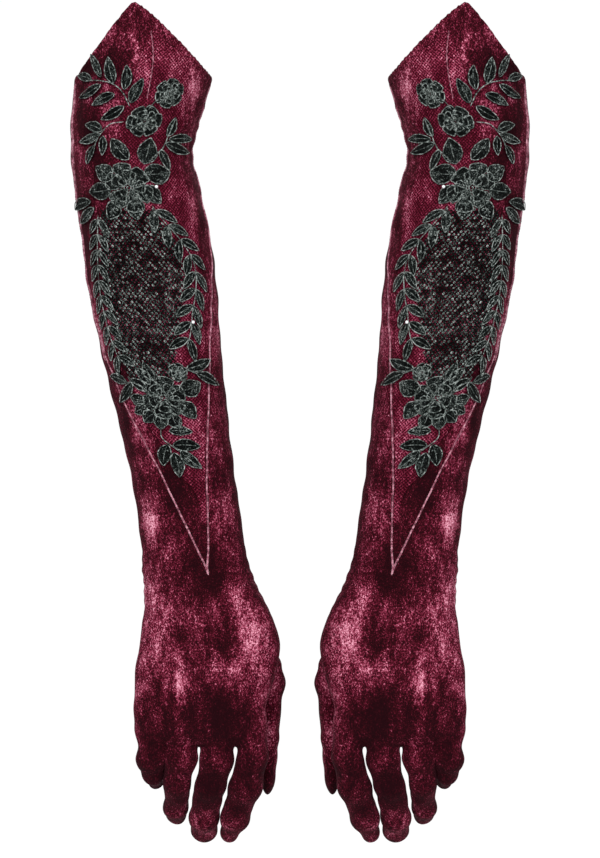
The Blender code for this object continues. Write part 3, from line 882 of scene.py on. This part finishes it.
class Thread:
    """Stitched pieces drawn flat, gathered into one mesh: fill is 0 and cord is 1."""

    def __init__(self):
        self.drawn, self.faces, self.kinds, self.stitch = [], [], [], []
        self.count = 0

    def add(self, drawn, faces, kind, stitch):
        self.drawn.append(drawn)
        self.faces.append(faces + self.count)
        self.kinds.append(np.full(len(faces), kind))
        self.stitch.append(stitch)
        self.count += len(drawn)

    def cord(self, path, radius=CORD, lift=CORD_LIFT, closed=False, kind=1, sides=6, twist=0.0):
        """A cord along a flat path. Twist is the length of one turn of its strands, or none."""
        path = np.asarray(path, float)
        if closed:
            ahead = np.roll(path, -1, 0) - np.roll(path, 1, 0)
        else:
            ahead = np.gradient(path, axis=0)
        ahead = ahead / np.maximum(np.linalg.norm(ahead, axis=1, keepdims=True), 1e-9)
        beside = np.stack([-ahead[:, 1], ahead[:, 0]], -1)
        reach = np.concatenate([[0], np.cumsum(np.linalg.norm(np.diff(path, axis=0), axis=1))])
        turn = 2 * np.pi * np.arange(sides) / sides
        size = np.full(len(path), radius)
        if twist:
            size = radius * (1 + STRAND_SWELL * np.sin(2 * np.pi * reach / twist))
        if not closed:
            size[[0, -1]] *= END_TAPER
        out = size[:, None] * np.cos(turn)
        up = size[:, None] * np.sin(turn) + lift
        flat_points = path[:, None, :] + beside[:, None, :] * out[..., None]
        drawn = np.concatenate([flat_points, up[..., None]], -1).reshape(-1, 3)
        faces = grid_faces(len(path) + closed, sides)[:, ::-1] % len(drawn)
        stitch = np.stack([np.repeat(reach, sides), np.tile(turn * radius, len(path)),
                           np.zeros(len(drawn))], -1)
        self.add(drawn, faces, kind, stitch)

    def patch(self, base, tip, width, petal=False, lift=0.0, curve=0.0, rib=True, frill=0.0):
        """A stitched leaf or petal from its base to its tip, outlined with a cord."""
        base, tip = np.asarray(base, float), np.asarray(tip, float)
        length = np.linalg.norm(tip - base)
        way = (tip - base) / length
        side = np.array((-way[1], way[0]))

        def half(share):
            if petal:
                return width / 2 * share**0.62 * np.sqrt(1 - share**5)
            return width / 2 * np.sin(np.pi * share**0.86) ** 0.80

        def spot(share, across):
            bow = curve * np.sin(np.pi * share)
            return (base + way * (share * length)[..., None]
                    + side * (across * half(share) + bow)[..., None])

        t, s = np.meshgrid(np.linspace(0.01, 0.99, PATCH_ROWS), np.linspace(-1, 1, PATCH_COLUMNS),
                           indexing="ij")
        ridges = RIDGE * np.sin(2 * np.pi * (t * length - np.abs(s) * half(t)) / RIDGE_PITCH)
        dome = DOME * (1 - s**2) + ridges * (1 - s**4) - MIDRIB * np.exp(-(s / 0.2) ** 2)
        drawn = np.concatenate([spot(t, s), (FILL_LIFT + lift + dome)[..., None]], -1)
        stitch = np.stack([t * length, s * half(t), np.ones(t.shape)], -1)
        self.add(drawn.reshape(-1, 3), grid_faces(PATCH_ROWS, PATCH_COLUMNS, closed=False), 0,
                 stitch.reshape(-1, 3))
        around = np.linspace(0, 1, OUTLINE)
        back = around[::-1][1:-1]
        edge = np.concatenate([spot(around, 1 + 0 * around), spot(back, -1 + 0 * back)])
        if frill:
            wave = frill * np.sin(2 * np.pi * np.arange(len(edge)) * FRILLS / len(edge))
            outward = edge - edge.mean(0)
            edge = edge + outward / np.linalg.norm(outward, axis=1, keepdims=True) * wave[:, None]
        self.cord(edge, lift=CORD_LIFT + lift, closed=True)
        if rib:
            line = np.linspace(0.06, 0.86, 9)
            self.cord(spot(line, 0 * line), radius=CORD * 0.62, lift=CORD_LIFT + lift - 0.0001)

    def rose(self, centre, radius, turn=0.0, tall=1.0, rings=3):
        """A rose: rings of frilled petals round a coiled heart, each ring above the last."""
        shape = np.array((1.0, tall))
        for ring, (count, share) in enumerate(ROSE_RINGS[:rings]):
            reach = radius * share
            for number in range(count):
                angle = turn + 2 * np.pi * (number + 0.5 * ring) / count
                way = np.array((np.cos(angle), np.sin(angle))) * shape
                self.patch(centre + 0.22 * reach * way, centre + reach * way, 1.05 * reach,
                           petal=True, lift=0.00035 * ring, rib=False, frill=0.00022)
        coil = np.linspace(0, 4.6 * np.pi, 40)
        size = radius * 0.26 * coil / coil[-1]
        heart = centre + np.stack([size * np.cos(coil), size * np.sin(coil) * tall], -1)
        self.cord(heart, radius=CORD * 0.8, lift=CORD_LIFT + 0.0012)

    def knot(self, centre, size, lift, kind):
        """A small raised knot, longer one way."""
        rings, sides = 4, 7
        tilt = np.linspace(0.25, 1.0, rings)[:, None] * np.pi / 2
        turn = 2 * np.pi * np.arange(sides) / sides
        long = np.sin(tilt) * np.cos(turn) * size * KNOT_LENGTH
        wide = np.sin(tilt) * np.sin(turn) * size * KNOT_WIDTH
        u = centre[0] + long * math.cos(KNOT_LEAN) + wide * math.sin(KNOT_LEAN)
        z = centre[1] - long * math.sin(KNOT_LEAN) + wide * math.cos(KNOT_LEAN)
        up = lift + np.cos(tilt) * size * KNOT_HEIGHT + 0 * turn
        drawn = np.stack([u, z, up], -1).reshape(-1, 3)
        self.add(drawn, grid_faces(rings, sides)[:, ::-1], kind, drawn * (1, 1, 0))

    def piece(self, side, name, slot, *finishes):
        """The gathered mesh, laid on the arm."""
        shape = laid(np.concatenate(self.drawn)), np.concatenate(self.faces)
        placed = add_piece(side, name, shape, slot, *finishes)
        placed.data.polygons.foreach_set("material_index", np.concatenate(self.kinds).astype(int))
        stitched = placed.data.attributes.new("stitch", "FLOAT_VECTOR", "POINT")
        stitched.data.foreach_set("vector", np.concatenate(self.stitch).astype(np.float32).ravel())
        return placed


# Leaves as base across, base height, tip across, tip height and width, in millimetres
TOP_SPRIG = [
    (-20.2, 5.5, -25.4, 17.8, 3.6), (-13.4, 1.8, -15.9, 15.4, 5.2), (-7.5, -1.9, -6.3, 10.8, 4.6),
    (-4.2, -9.3, 2.0, 3.3, 5.2), (-25.1, 4.3, -32.6, 7.0, 3.8), (-20.2, 1.2, -31.3, -4.9, 4.6),
    (-12.8, -4.3, -24.2, -9.6, 4.8), (-7.9, -11.1, -19.3, -17.6, 5.0),
]
LEFT_SPRIG = [
    (-19.6, -24.0, -27.9, -20.4, 4.4), (-20.2, -25.9, -31.4, -29.6, 4.2),
    (-23.9, -32.1, -27.3, -41.6, 3.8), (-19.0, -27.1, -19.6, -37.0, 3.8),
]
RIGHT_SPRIG = [
    (14.6, -27.1, 18.9, -17.3, 4.4), (15.2, -28.7, 26.6, -28.1, 4.0),
    (13.7, -30.8, 24.8, -35.1, 4.6), (10.6, -34.5, 15.5, -45.0, 4.4),
]
ROSE_LEAVES = [
    (2.6, -42.5, 6.0, -29.0, 9.0), (-5.4, -40.1, -14.0, -29.3, 7.0),
    (2.6, -48.1, 15.5, -46.6, 9.5), (2.0, -54.8, 10.9, -63.5, 8.0),
    (-14.7, -51.2, -22.0, -44.1, 9.0), (-14.9, -56.1, -25.8, -57.3, 8.0),
    (-25.8, -62.3, -34.6, -65.9, 5.0), (-24.0, -66.0, -31.5, -73.5, 4.6),
    (-2.0, -62.0, -1.0, -72.5, 7.0), (-12.0, -62.5, -15.5, -72.0, 7.0),
]
LOWER_LEAVES = [
    (-6.2, -162.0, -14.9, -158.5, 4.4), (-3.2, -162.0, -9.4, -172.4, 4.6),
    (9.2, -178.8, 3.7, -183.3, 6.0), (11.1, -179.3, 12.0, -187.3, 6.4),
    (18.1, -179.3, 21.6, -187.0, 6.4), (22.0, -172.9, 30.0, -181.3, 7.4),
    (22.0, -166.9, 32.2, -162.5, 8.0), (30.5, -157.0, 41.6, -163.0, 4.8),
    (25.5, -154.6, 36.9, -149.6, 4.8), (16.6, -188.7, 28.0, -189.3, 4.4),
    (6.5, -163.0, -1.0, -154.5, 4.4), (8.5, -161.0, 3.0, -151.5, 4.4),
    (4.5, -166.5, -4.0, -160.5, 4.6), (3.6, -172.0, -3.6, -170.0, 5.6),
    (5.0, -176.0, -1.0, -178.6, 5.6),
    (18.6, -196.7, 32.2, -197.2, 5.6), (22.5, -199.6, 33.0, -208.6, 5.2),
    (19.1, -200.6, 22.0, -213.3, 5.4), (15.6, -196.2, 13.6, -207.1, 5.6),
]
STEMS = {
    "top": [(-28.9, 3.8), (-20.2, 3.3), (-14.0, 1.5), (-9.1, -2.5), (-4.8, -11.1)],
    "left": [(-8.0, -19.5), (-15.5, -21.0), (-19.6, -25.0), (-23.9, -33.0)],
    "right": [(7.0, -39.0), (13.0, -32.0), (15.0, -26.5), (18.9, -17.3)],
    "small_rose": [(5.0, -13.0), (8.0, -9.0), (11.0, -6.5)],
    "lower": [(12.2, -188.0), (12.6, -191.7), (18.1, -197.0), (22.3, -200.0)],
    "lower_left": [(3.0, -165.0), (-3.2, -162.0), (-6.2, -162.0)],
    "lower_right": [(22.0, -160.0), (25.5, -155.5), (30.5, -157.0)],
}
# The vines on both sides of the lattice: their lines, and their leaves' length and width
RIGHT_VINE = [(7.0, -65.5), (14.3, -75.0), (22.4, -84.8), (27.8, -93.5), (30.0, -103.0),
              (29.9, -113.0), (28.4, -124.4), (27.4, -134.0), (25.6, -142.5)]
LEFT_VINE = [(-21.5, -70.0), (-21.8, -80.0), (-21.8, -93.8), (-21.0, -108.0), (-18.6, -122.0),
             (-15.2, -136.0), (-9.0, -152.0)]
LATTICE_LEFT = [(-20.5, -66.0), (-21.0, -90.0), (-20.0, -110.0), (-16.5, -125.0),
                (-12.5, -140.0), (-5.0, -161.0)]
LATTICE_RIGHT = [(8.0, -66.0), (14.5, -76.0), (21.5, -88.0), (24.5, -103.0), (23.5, -120.0),
                 (22.0, -135.0), (19.5, -161.0)]
LATTICE_PITCH = 0.00195
LATTICE_THIN = 0.0045  # across from the arm's middle, where the velvet shows more
LATTICE_THIN_REACH = 0.0035
LATTICE_LEAN = math.radians(52)
LATTICE_CORD = 0.00046
LATTICE_WANDER = 0.00012
KNOT_SIZE = 0.00115
KNOT_SPREAD = 0.00025
DARK_KNOTS = 0.58  # the share of the knots that are fill and not cord


def drawn_line(corners, count):
    """A smooth line through places seen from the back."""
    return smooth_path([flat(x, z) for x, z in corners], count)


def leaves(thread, rows):
    """Leaves from a table, each bowed the other way from the one before."""
    for number, (base_x, base_z, tip_x, tip_z, width) in enumerate(rows):
        bow = LEAF_BOW if number % 2 else -LEAF_BOW
        base, tip = flat(base_x, base_z), flat(tip_x, tip_z)
        thread.patch(base, base + LEAF_REACH * (tip - base), LEAF_FULLNESS * width / 1000,
                     curve=bow, frill=LEAF_FRILL)


def stem(thread, name):
    thread.cord(drawn_line(STEMS[name], 26), radius=CORD * 1.15)


def vine(thread, corners, pairs, length, width, outer, inner):
    """A stem with a pair of leaves at each step, at two angles to the way it runs."""
    line = drawn_line(corners, 80)
    thread.cord(line, radius=CORD * 1.1)
    for spot in np.linspace(2, 74, pairs).astype(int):
        way = line[spot + 3] - line[spot]
        way = way / np.linalg.norm(way)
        for turn in np.radians((outer, inner)):
            c, s = math.cos(turn), math.sin(turn)
            leaf_way = np.array((c * way[0] - s * way[1], s * way[0] + c * way[1]))
            start = line[spot] + 0.0009 * leaf_way
            thread.patch(start, start + length * leaf_way, width, curve=0.0005 * np.sign(turn))


def scattered(a, b):
    """A repeatable scatter, 0 to 1, over the lattice's crossings."""
    return math.sin(12.9898 * a + 78.233 * b) * 43758.5453 % 1


def lattice(thread):
    """Crossing cords with a knot at most crossings, between the two vines."""
    left = np.array([flat(x, z) for x, z in LATTICE_LEFT])
    right = np.array([flat(x, z) for x, z in LATTICE_RIGHT])
    top, bottom = LATTICE_LEFT[0][1] / 1000, LATTICE_LEFT[-1][1] / 1000

    def inside(u, z):
        low = np.interp(-z, -left[:, 1], left[:, 0])
        high = np.interp(-z, -right[:, 1], right[:, 0])
        return (u > low) & (u < high) & (z < top) & (z > bottom)

    ways = [np.array((math.cos(LATTICE_LEAN), turn * math.sin(LATTICE_LEAN))) for turn in (-1, 1)]
    middle = np.array((0.0, (top + bottom) / 2))
    reach = np.arange(-60, 61)
    for way, other in (ways, ways[::-1]):
        for lane in reach:
            line = middle + lane * LATTICE_PITCH * other + reach[:, None] * LATTICE_PITCH * way
            run = line[inside(line[:, 0], line[:, 1])]
            if len(run) > 2:
                run = run + LATTICE_WANDER * np.sin(np.arange(len(run)) * 2.1 + lane)[:, None]
                thread.cord(run, radius=LATTICE_CORD, lift=FILL_LIFT, kind=0, sides=5)
    for a in reach:
        for b in reach:
            spot = middle + LATTICE_PITCH * (a * ways[0] + b * ways[1])
            chance = scattered(a, b)
            bare = 0.4 * math.exp(-((spot[0] - LATTICE_THIN) / LATTICE_THIN_REACH) ** 2)
            if inside(*spot) and chance >= bare:
                size = KNOT_SIZE + KNOT_SPREAD * math.sin(3.7 * a + 5.1 * b)
                thread.knot(spot, size, FILL_LIFT + 0.0002, kind=int(chance > DARK_KNOTS))


def make_lace(side):
    """The four pieces of embroidered lace, from the top of the arm down."""
    spray = Thread()
    leaves(spray, TOP_SPRIG)
    for name in ("top", "small_rose"):
        stem(spray, name)
    spray.rose(flat(16.2, -3.7), 0.0080, turn=0.4)
    spray.rose(flat(2.9, -19.1), 0.0094, turn=0.1, tall=0.88)
    leaves(spray, LEFT_SPRIG)
    stem(spray, "left")

    roses = Thread()
    leaves(roses, RIGHT_SPRIG)
    stem(roses, "right")
    leaves(roses, ROSE_LEAVES)
    roses.rose(flat(-5.4, -55.5), 0.0125, turn=0.7, tall=1.1)

    medallion = Thread()
    lattice(medallion)
    vine(medallion, RIGHT_VINE, 9, 0.0122, 0.0047, 28, -40)
    vine(medallion, LEFT_VINE, 10, 0.0108, 0.0040, 40, -30)

    lower = Thread()
    leaves(lower, LOWER_LEAVES)
    for name in ("lower", "lower_left", "lower_right"):
        stem(lower, name)
    lower.rose(flat(21.0, -156.5), 0.0050, turn=0.2, rings=2)
    lower.rose(flat(13.6, -170.4), 0.0112, turn=0.3, tall=1.05)

    for thread, name, place, node in ((spray, "spray", ELBOW, "upper_lace_spray"),
                                      (roses, "roses", ELBOW, "rose_cluster"),
                                      (medallion, "medallion", FOREARM, "lattice_medallion"),
                                      (lower, "lower_spray", FOREARM, "lower_lace_spray")):
        hold(thread.piece(side, f"lace_{name}", "lace", *LACE_FINISH), side, *place, node)


# -------- seams, hem, net and beads

SEAM_RADIUS = 0.00047
SEAM_TWIST = 0.0014
SEAM_STEP = 0.0007
SECOND_SEAM = (-0.0022, 0.00025)  # how far aside of the left seam, and how wavy
WAVE_PITCH = 0.0042
MEET_FROM = -0.235  # the height where the two seams start to run to their tip
# The zigzag stitches under the peak: a line across and up, in millimetres
ZIGZAG = ((6.7, 30.5), (7.8, 17.2), (4.4, -6.7))
ZIGZAG_POINTS = 90
ZIGZAG_TURNS = 22
ZIGZAG_WIDTH = 0.00035
UNDERARM = 176  # the sleeve's closing seam, in degrees round the arm
SEAM_TIP = (12.0, -0.2680)  # angle and height where the panel's two seams meet


def seam_line(share, high, low, aside=0.0, wave=0.0):
    """A line down one edge of the lace panel, in flat lace coordinates."""
    z = np.linspace(high, low, int((high - low) / SEAM_STEP))
    angle = panel_angle(share, z)
    angle = angle + (SEAM_TIP[0] - angle) * smoothstep(MEET_FROM, SEAM_TIP[1], z) ** 6
    u = np.radians(angle) * mean_radius(z) + aside + wave * np.sin(z * 2 * np.pi / WAVE_PITCH)
    return np.stack([u, z], -1)


def panel_seam(thread, *line):
    thread.cord(seam_line(*line), radius=SEAM_RADIUS, lift=0.0002, twist=SEAM_TWIST, sides=8)


def make_seams(side):
    """The lace panel's raised seams, a second line on the left, and the zigzag under the peak."""
    top_left, top_right = (float(top_edge(panel_angle(share, 0))) for share in (0, 1))
    above = Thread()
    panel_seam(above, 0, top_left, SLEEVE_CUT)
    panel_seam(above, 0, top_left, SLEEVE_CUT, *SECOND_SEAM)
    panel_seam(above, 1, top_right, SLEEVE_CUT)
    run = drawn_line(ZIGZAG, ZIGZAG_POINTS)
    run[:, 0] += ZIGZAG_WIDTH * (np.abs(np.linspace(0, ZIGZAG_TURNS, len(run)) % 2 - 1) - 0.5)
    above.cord(run, radius=0.00030, lift=0.0011, sides=5)
    hold(above.piece(side, "panel_seams_above", "seam", SEAM, SEAM), side, *ELBOW)
    for share, name in enumerate(("left", "right")):
        thread = Thread()
        panel_seam(thread, share, SLEEVE_CUT, SEAM_TIP[1])
        hold(thread.piece(side, f"panel_{name}_seam_below", "seam", SEAM, SEAM), side, *WRIST,
             f"lace_panel_{name}_seam")


def make_underarm_seam(side):
    """The seam that closes the sleeve, down the inside of the arm."""
    for name, high, low, place in (("above", EDGE_HEIGHT, SLEEVE_CUT, ELBOW),
                                   ("below", SLEEVE_CUT, HAND_CUT, WRIST)):
        z = np.linspace(high, low, int((high - low) / 0.0012))
        thread = Thread()
        thread.cord(np.stack([math.radians(UNDERARM) * mean_radius(z), z], -1), radius=0.0006,
                    lift=0.0001, twist=0.003)
        hold(thread.piece(side, f"underarm_seam_{name}", "seam", VELVET, VELVET), side, *place)


# The rolled band's section: rise above the top edge, and lift off the velvet
HEM_SECTION = [(-0.0016, -0.0002), (-0.0013, 0.0004), (0.0002, 0.0006), (0.0018, 0.0008),
               (0.0030, 0.0006), (0.0038, 0.0001), (0.0041, -0.0005), (0.0038, -0.0011),
               (0.0028, -0.0016), (0.0010, -0.0018), (-0.0012, -0.0017), (-0.0016, -0.0010)]
HEM_TOP = 0.0041


def make_hem(side):
    """The turned top edge: a narrow rolled band all the way round."""
    angles = np.linspace(-180, 180, 360, endpoint=False)
    turn = np.radians(angles)
    base = top_edge(angles)
    ragged = 0.00022 * np.sin(turn * 61) + 0.00016 * np.sin(turn * 97)
    rings = [on_arm(base + rise + ragged * np.clip(rise / HEM_TOP, 0, 1), angles, lift)
             for rise, lift in HEM_SECTION]
    points = np.concatenate(rings)
    faces = grid_faces(len(rings) + 1, len(angles))[:, ::-1] % len(points)
    placed = add_piece(side, "hem_band", (points, faces), "velvet", VELVET)
    hold(placed, side, ("upper",), None, "upper_hem")


NET_LIFT = 0.00055
NET_PITCH = 0.0019
NET_ROWS = 90
NET_COLUMNS = 48
NET_MIDDLE = -0.068
# The net's lower edge: share of the net's width, and height
NET_EDGE = [(0.0, -0.190), (0.30, -0.2135), (0.60, -0.2225), (0.66, -0.2235), (0.76, -0.238),
            (1.0, -0.2405)]
# How far down, and the shares of the panel's width where the net begins and ends there
NET_DOWN = (-0.03, 0.0, 0.068, 0.090, 0.150)
NET_FIRST = (0.46, 0.42, 0.30, 0.26, 0.22)
NET_LAST = (0.66, 0.74, 0.80, 0.86, 0.95)


def net_sheet(top_of, bottom_of):
    """The net's points between two lines across the panel, and its quads."""
    share = np.linspace(0, 1, NET_COLUMNS)[None, :]
    down = np.linspace(0, 1, NET_ROWS)[:, None]
    top, bottom = top_of(share), bottom_of(share)
    z = top + down * (bottom - top)
    first, last = (np.interp(-z, NET_DOWN, shares) for shares in (NET_FIRST, NET_LAST))
    angle = panel_angle(first + share * (last - first), z)
    drawn = np.stack([np.radians(angle) * mean_radius(z), z, np.full(z.shape, NET_LIFT)], -1)
    return drawn.reshape(-1, 3), grid_faces(NET_ROWS, NET_COLUMNS, closed=False)


def make_net(side):
    """Fine net laid over the velvet under the lace, with a slanting ragged lower edge."""
    def upper_top(share):
        angle = panel_angle(NET_FIRST[0] + share * (NET_LAST[0] - NET_FIRST[0]), 0)
        return 0.93 * (top_edge(angle) - EDGE_HEIGHT) + 0.002

    def middle(share):
        return NET_MIDDLE + 0 * share

    def lower_edge(share):
        ragged = 0.0012 * np.sin(share * 40) * np.sin(share * 15)
        return np.interp(share, *np.array(NET_EDGE).T) + ragged

    for name, top_of, bottom_of, place, node in (
            ("upper", upper_top, middle, ELBOW, "upper_net"),
            ("lower", middle, lower_edge, FOREARM, "lace_net")):
        drawn, faces = net_sheet(top_of, bottom_of)
        thread = Thread()
        thread.add(drawn, faces, 0, drawn)
        hold(thread.piece(side, f"net_{name}", "netting", NET), side, *place, node)


def make_beads(side):
    """Cut beads sewn on the lace."""
    for number in (1, 2):
        low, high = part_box(f"{side}_bead_{number}")
        bpy.ops.mesh.primitive_ico_sphere_add(subdivisions=2, radius=(high.z - low.z) / 2 * 1.05,
                                              location=(low + high) / 2)
        bead = bpy.context.object
        bead.name = f"{side}_crystal_{number}"
        bead.data.materials.append(CRYSTAL)
        hold(bead, side, *FOREARM, f"bead_{number}")


def lace_fill_material():
    """Dark satin stitches with pale flecks of thread."""
    cloth = Shader("lace_fill", Specular_IOR_Level=0.08)
    flecks = cloth.noise(0.0008, roughness=0.85)
    tone = cloth.scaled(cloth.noise(0.0060), 0.45, plus=flecks)
    cloth.coloured(cloth.remap(tone, 0.60, 0.98), (0.0, "020303"), (0.45, "0b100f"),
                   (0.8, "4a5350"), (1.0, "a8b0ac"))
    cloth.rough(flecks, 0.3, 0.7, 0.65, 0.45)
    cloth.bump(cloth.maths("ADD", cloth.waves(0.8, 0.00055), flecks), 0.00025, 0.8)
    return cloth.material


def cord_material(name, noise, span, dull, stops, pitch, relief, **constants):
    """Twisted cord mottled by noise: its noise, the span of it that shows, how dull it is, and its
    strands.
    """
    cloth = Shader(name, **constants)
    mottle = cloth.noise(*noise)
    cloth.coloured(cloth.remap(mottle, *span), *zip((0.0, 0.5, 1.0), stops))
    cloth.rough(mottle, 0.3, 0.7, *dull)
    cloth.bump(cloth.waves(0.8, pitch), 0.0002, relief)
    return cloth.material


def net_material():
    """Fine burgundy net: crossing threads that dull the crushed velvet under them. The second
    threads' pitch is negative, which puts them half a pitch along."""
    cloth = Shader("fine_net", Specular_IOR_Level=0.03, Roughness=0.85)
    one, other = [cloth.remap(cloth.waves(lean, lean * NET_PITCH), 0.25, 0.95)
                  for lean in (1.0, -1.0)]
    threads = cloth.maths("MAXIMUM", one, other)
    # The crushed pile's painted sheen, dimmed under the net
    pale, _ = crushed_pile(cloth)
    tone = cloth.scaled(threads, 0.36, plus=cloth.scaled(pale, 0.66))
    cloth.coloured(tone, *PILE_AND_SHEEN)
    cloth.bump(threads, 0.0002, 0.8)
    return cloth.material


def crystal_material():
    """Clear cut glass: a coat for its real reflections, and a nearly white colour that is its glints
    painted in.
    """
    cut = Shader("cut_crystal", Coat_Weight=0.6, Coat_Roughness=0.05, Roughness=0.08)
    cut.coloured(cut.noise(0.0012, detail=1.0), (0.3, "c9ccd2"), (0.7, "ffffff"))
    return cut.material


# The lace cord's grey and pale grey are painted sheen on black thread
LACE_FINISH = (lace_fill_material(),
               cord_material("lace_cord", (0.0016, 3.0, 0.8), (0.33, 0.67), (0.6, 0.45),
                             ("0c1110", "5c6662", "b9c2be"), 0.0006, 0.8, Specular_IOR_Level=0.15))
SEAM = cord_material("seam_thread", (0.0028, 4.0, 0.7), (0.35, 0.65), (0.7, 0.5),
                     ("4c1222", "95485f", "cf93a2"), 0.0007, 0.7, Sheen_Weight=0.2,
                     Specular_IOR_Level=0.3)
NET = net_material()
CRYSTAL = crystal_material()
for side in ("right", "left"):
    make_lace(side)
    make_seams(side)
    make_underarm_seam(side)
    make_hem(side)
    make_net(side)
    make_beads(side)


# -------- floor, light and camera

VIEW_HEIGHT = 0.476
VIEW_DISTANCE = 2.6
VIEW_CENTRE = (PAIR_SPACING / 2, 0.0, -0.1876)
SENSOR = 36.0
# Each lamp's name, place, size and watts
LAMPS = (("key", (-0.45, -1.6, 0.85), 0.6, 30),
         ("fill", (0.95, -1.4, 0.25), 0.9, 13),
         ("back", (0.2, 1.6, 0.8), 0.9, 26))
WORLD_LIGHT = 0.50
WORLD_SEEN = 1.02  # a touch over white, where the camera looks past the gloves
FLOOR_DROP = 0.04
FLOOR_RADIUS = 0.46


def area_light(name, place, size, power):
    """A round lamp that points at the middle of the view."""
    data = bpy.data.lights.new(name, "AREA")
    data.shape = "DISK"
    data.size = size
    data.energy = power
    light = bpy.data.objects.new(name, data)
    light.location = place
    way = Vector(VIEW_CENTRE) - Vector(place)
    light.rotation_euler = way.to_track_quat("-Z", "Y").to_euler()
    bpy.context.scene.collection.objects.link(light)


def make_floor():
    """A pale round floor under the fingertips, which shows only a faint shadow."""
    material = bpy.data.materials.new("pale_floor")
    material.use_nodes = True
    shader = material.node_tree.nodes["Principled BSDF"]
    shader.inputs["Base Color"].default_value = (0.9, 0.9, 0.9, 1)
    shader.inputs["Roughness"].default_value = 0.9
    bpy.ops.mesh.primitive_circle_add(vertices=96, radius=FLOOR_RADIUS, fill_type="NGON",
                                      location=(PAIR_SPACING / 2, 0, cad_low.z - FLOOR_DROP))
    floor = bpy.context.object
    floor.name = "floor"
    floor.data.materials.append(material)


def make_studio():
    """A white surround, three lamps and the camera, straight in front."""
    world = bpy.data.worlds.new("studio")
    world.use_nodes = True
    backdrop = world.node_tree.nodes["Background"]
    backdrop.inputs["Color"].default_value = (1, 1, 1, 1)
    seen = world.node_tree.nodes.new("ShaderNodeLightPath").outputs["Is Camera Ray"]
    strength = world.node_tree.nodes.new("ShaderNodeMapRange")
    strength.inputs["To Min"].default_value = WORLD_LIGHT
    strength.inputs["To Max"].default_value = WORLD_SEEN
    world.node_tree.links.new(seen, strength.inputs["Value"])
    world.node_tree.links.new(strength.outputs[0], backdrop.inputs["Strength"])
    bpy.context.scene.world = world
    bpy.context.scene.view_settings.view_transform = "Standard"
    for lamp in LAMPS:
        area_light(*lamp)
    camera_data = bpy.data.cameras.new("camera")
    camera_data.lens = SENSOR / 2 * VIEW_DISTANCE / (VIEW_HEIGHT / 2)
    camera_data.sensor_width = SENSOR
    camera_data.clip_end = 20
    camera = bpy.data.objects.new("camera", camera_data)
    camera.location = (VIEW_CENTRE[0], -VIEW_DISTANCE, VIEW_CENTRE[2])
    camera.rotation_euler = (math.pi / 2, 0, 0)
    bpy.context.scene.collection.objects.link(camera)
    bpy.context.scene.camera = camera


make_floor()
make_studio()
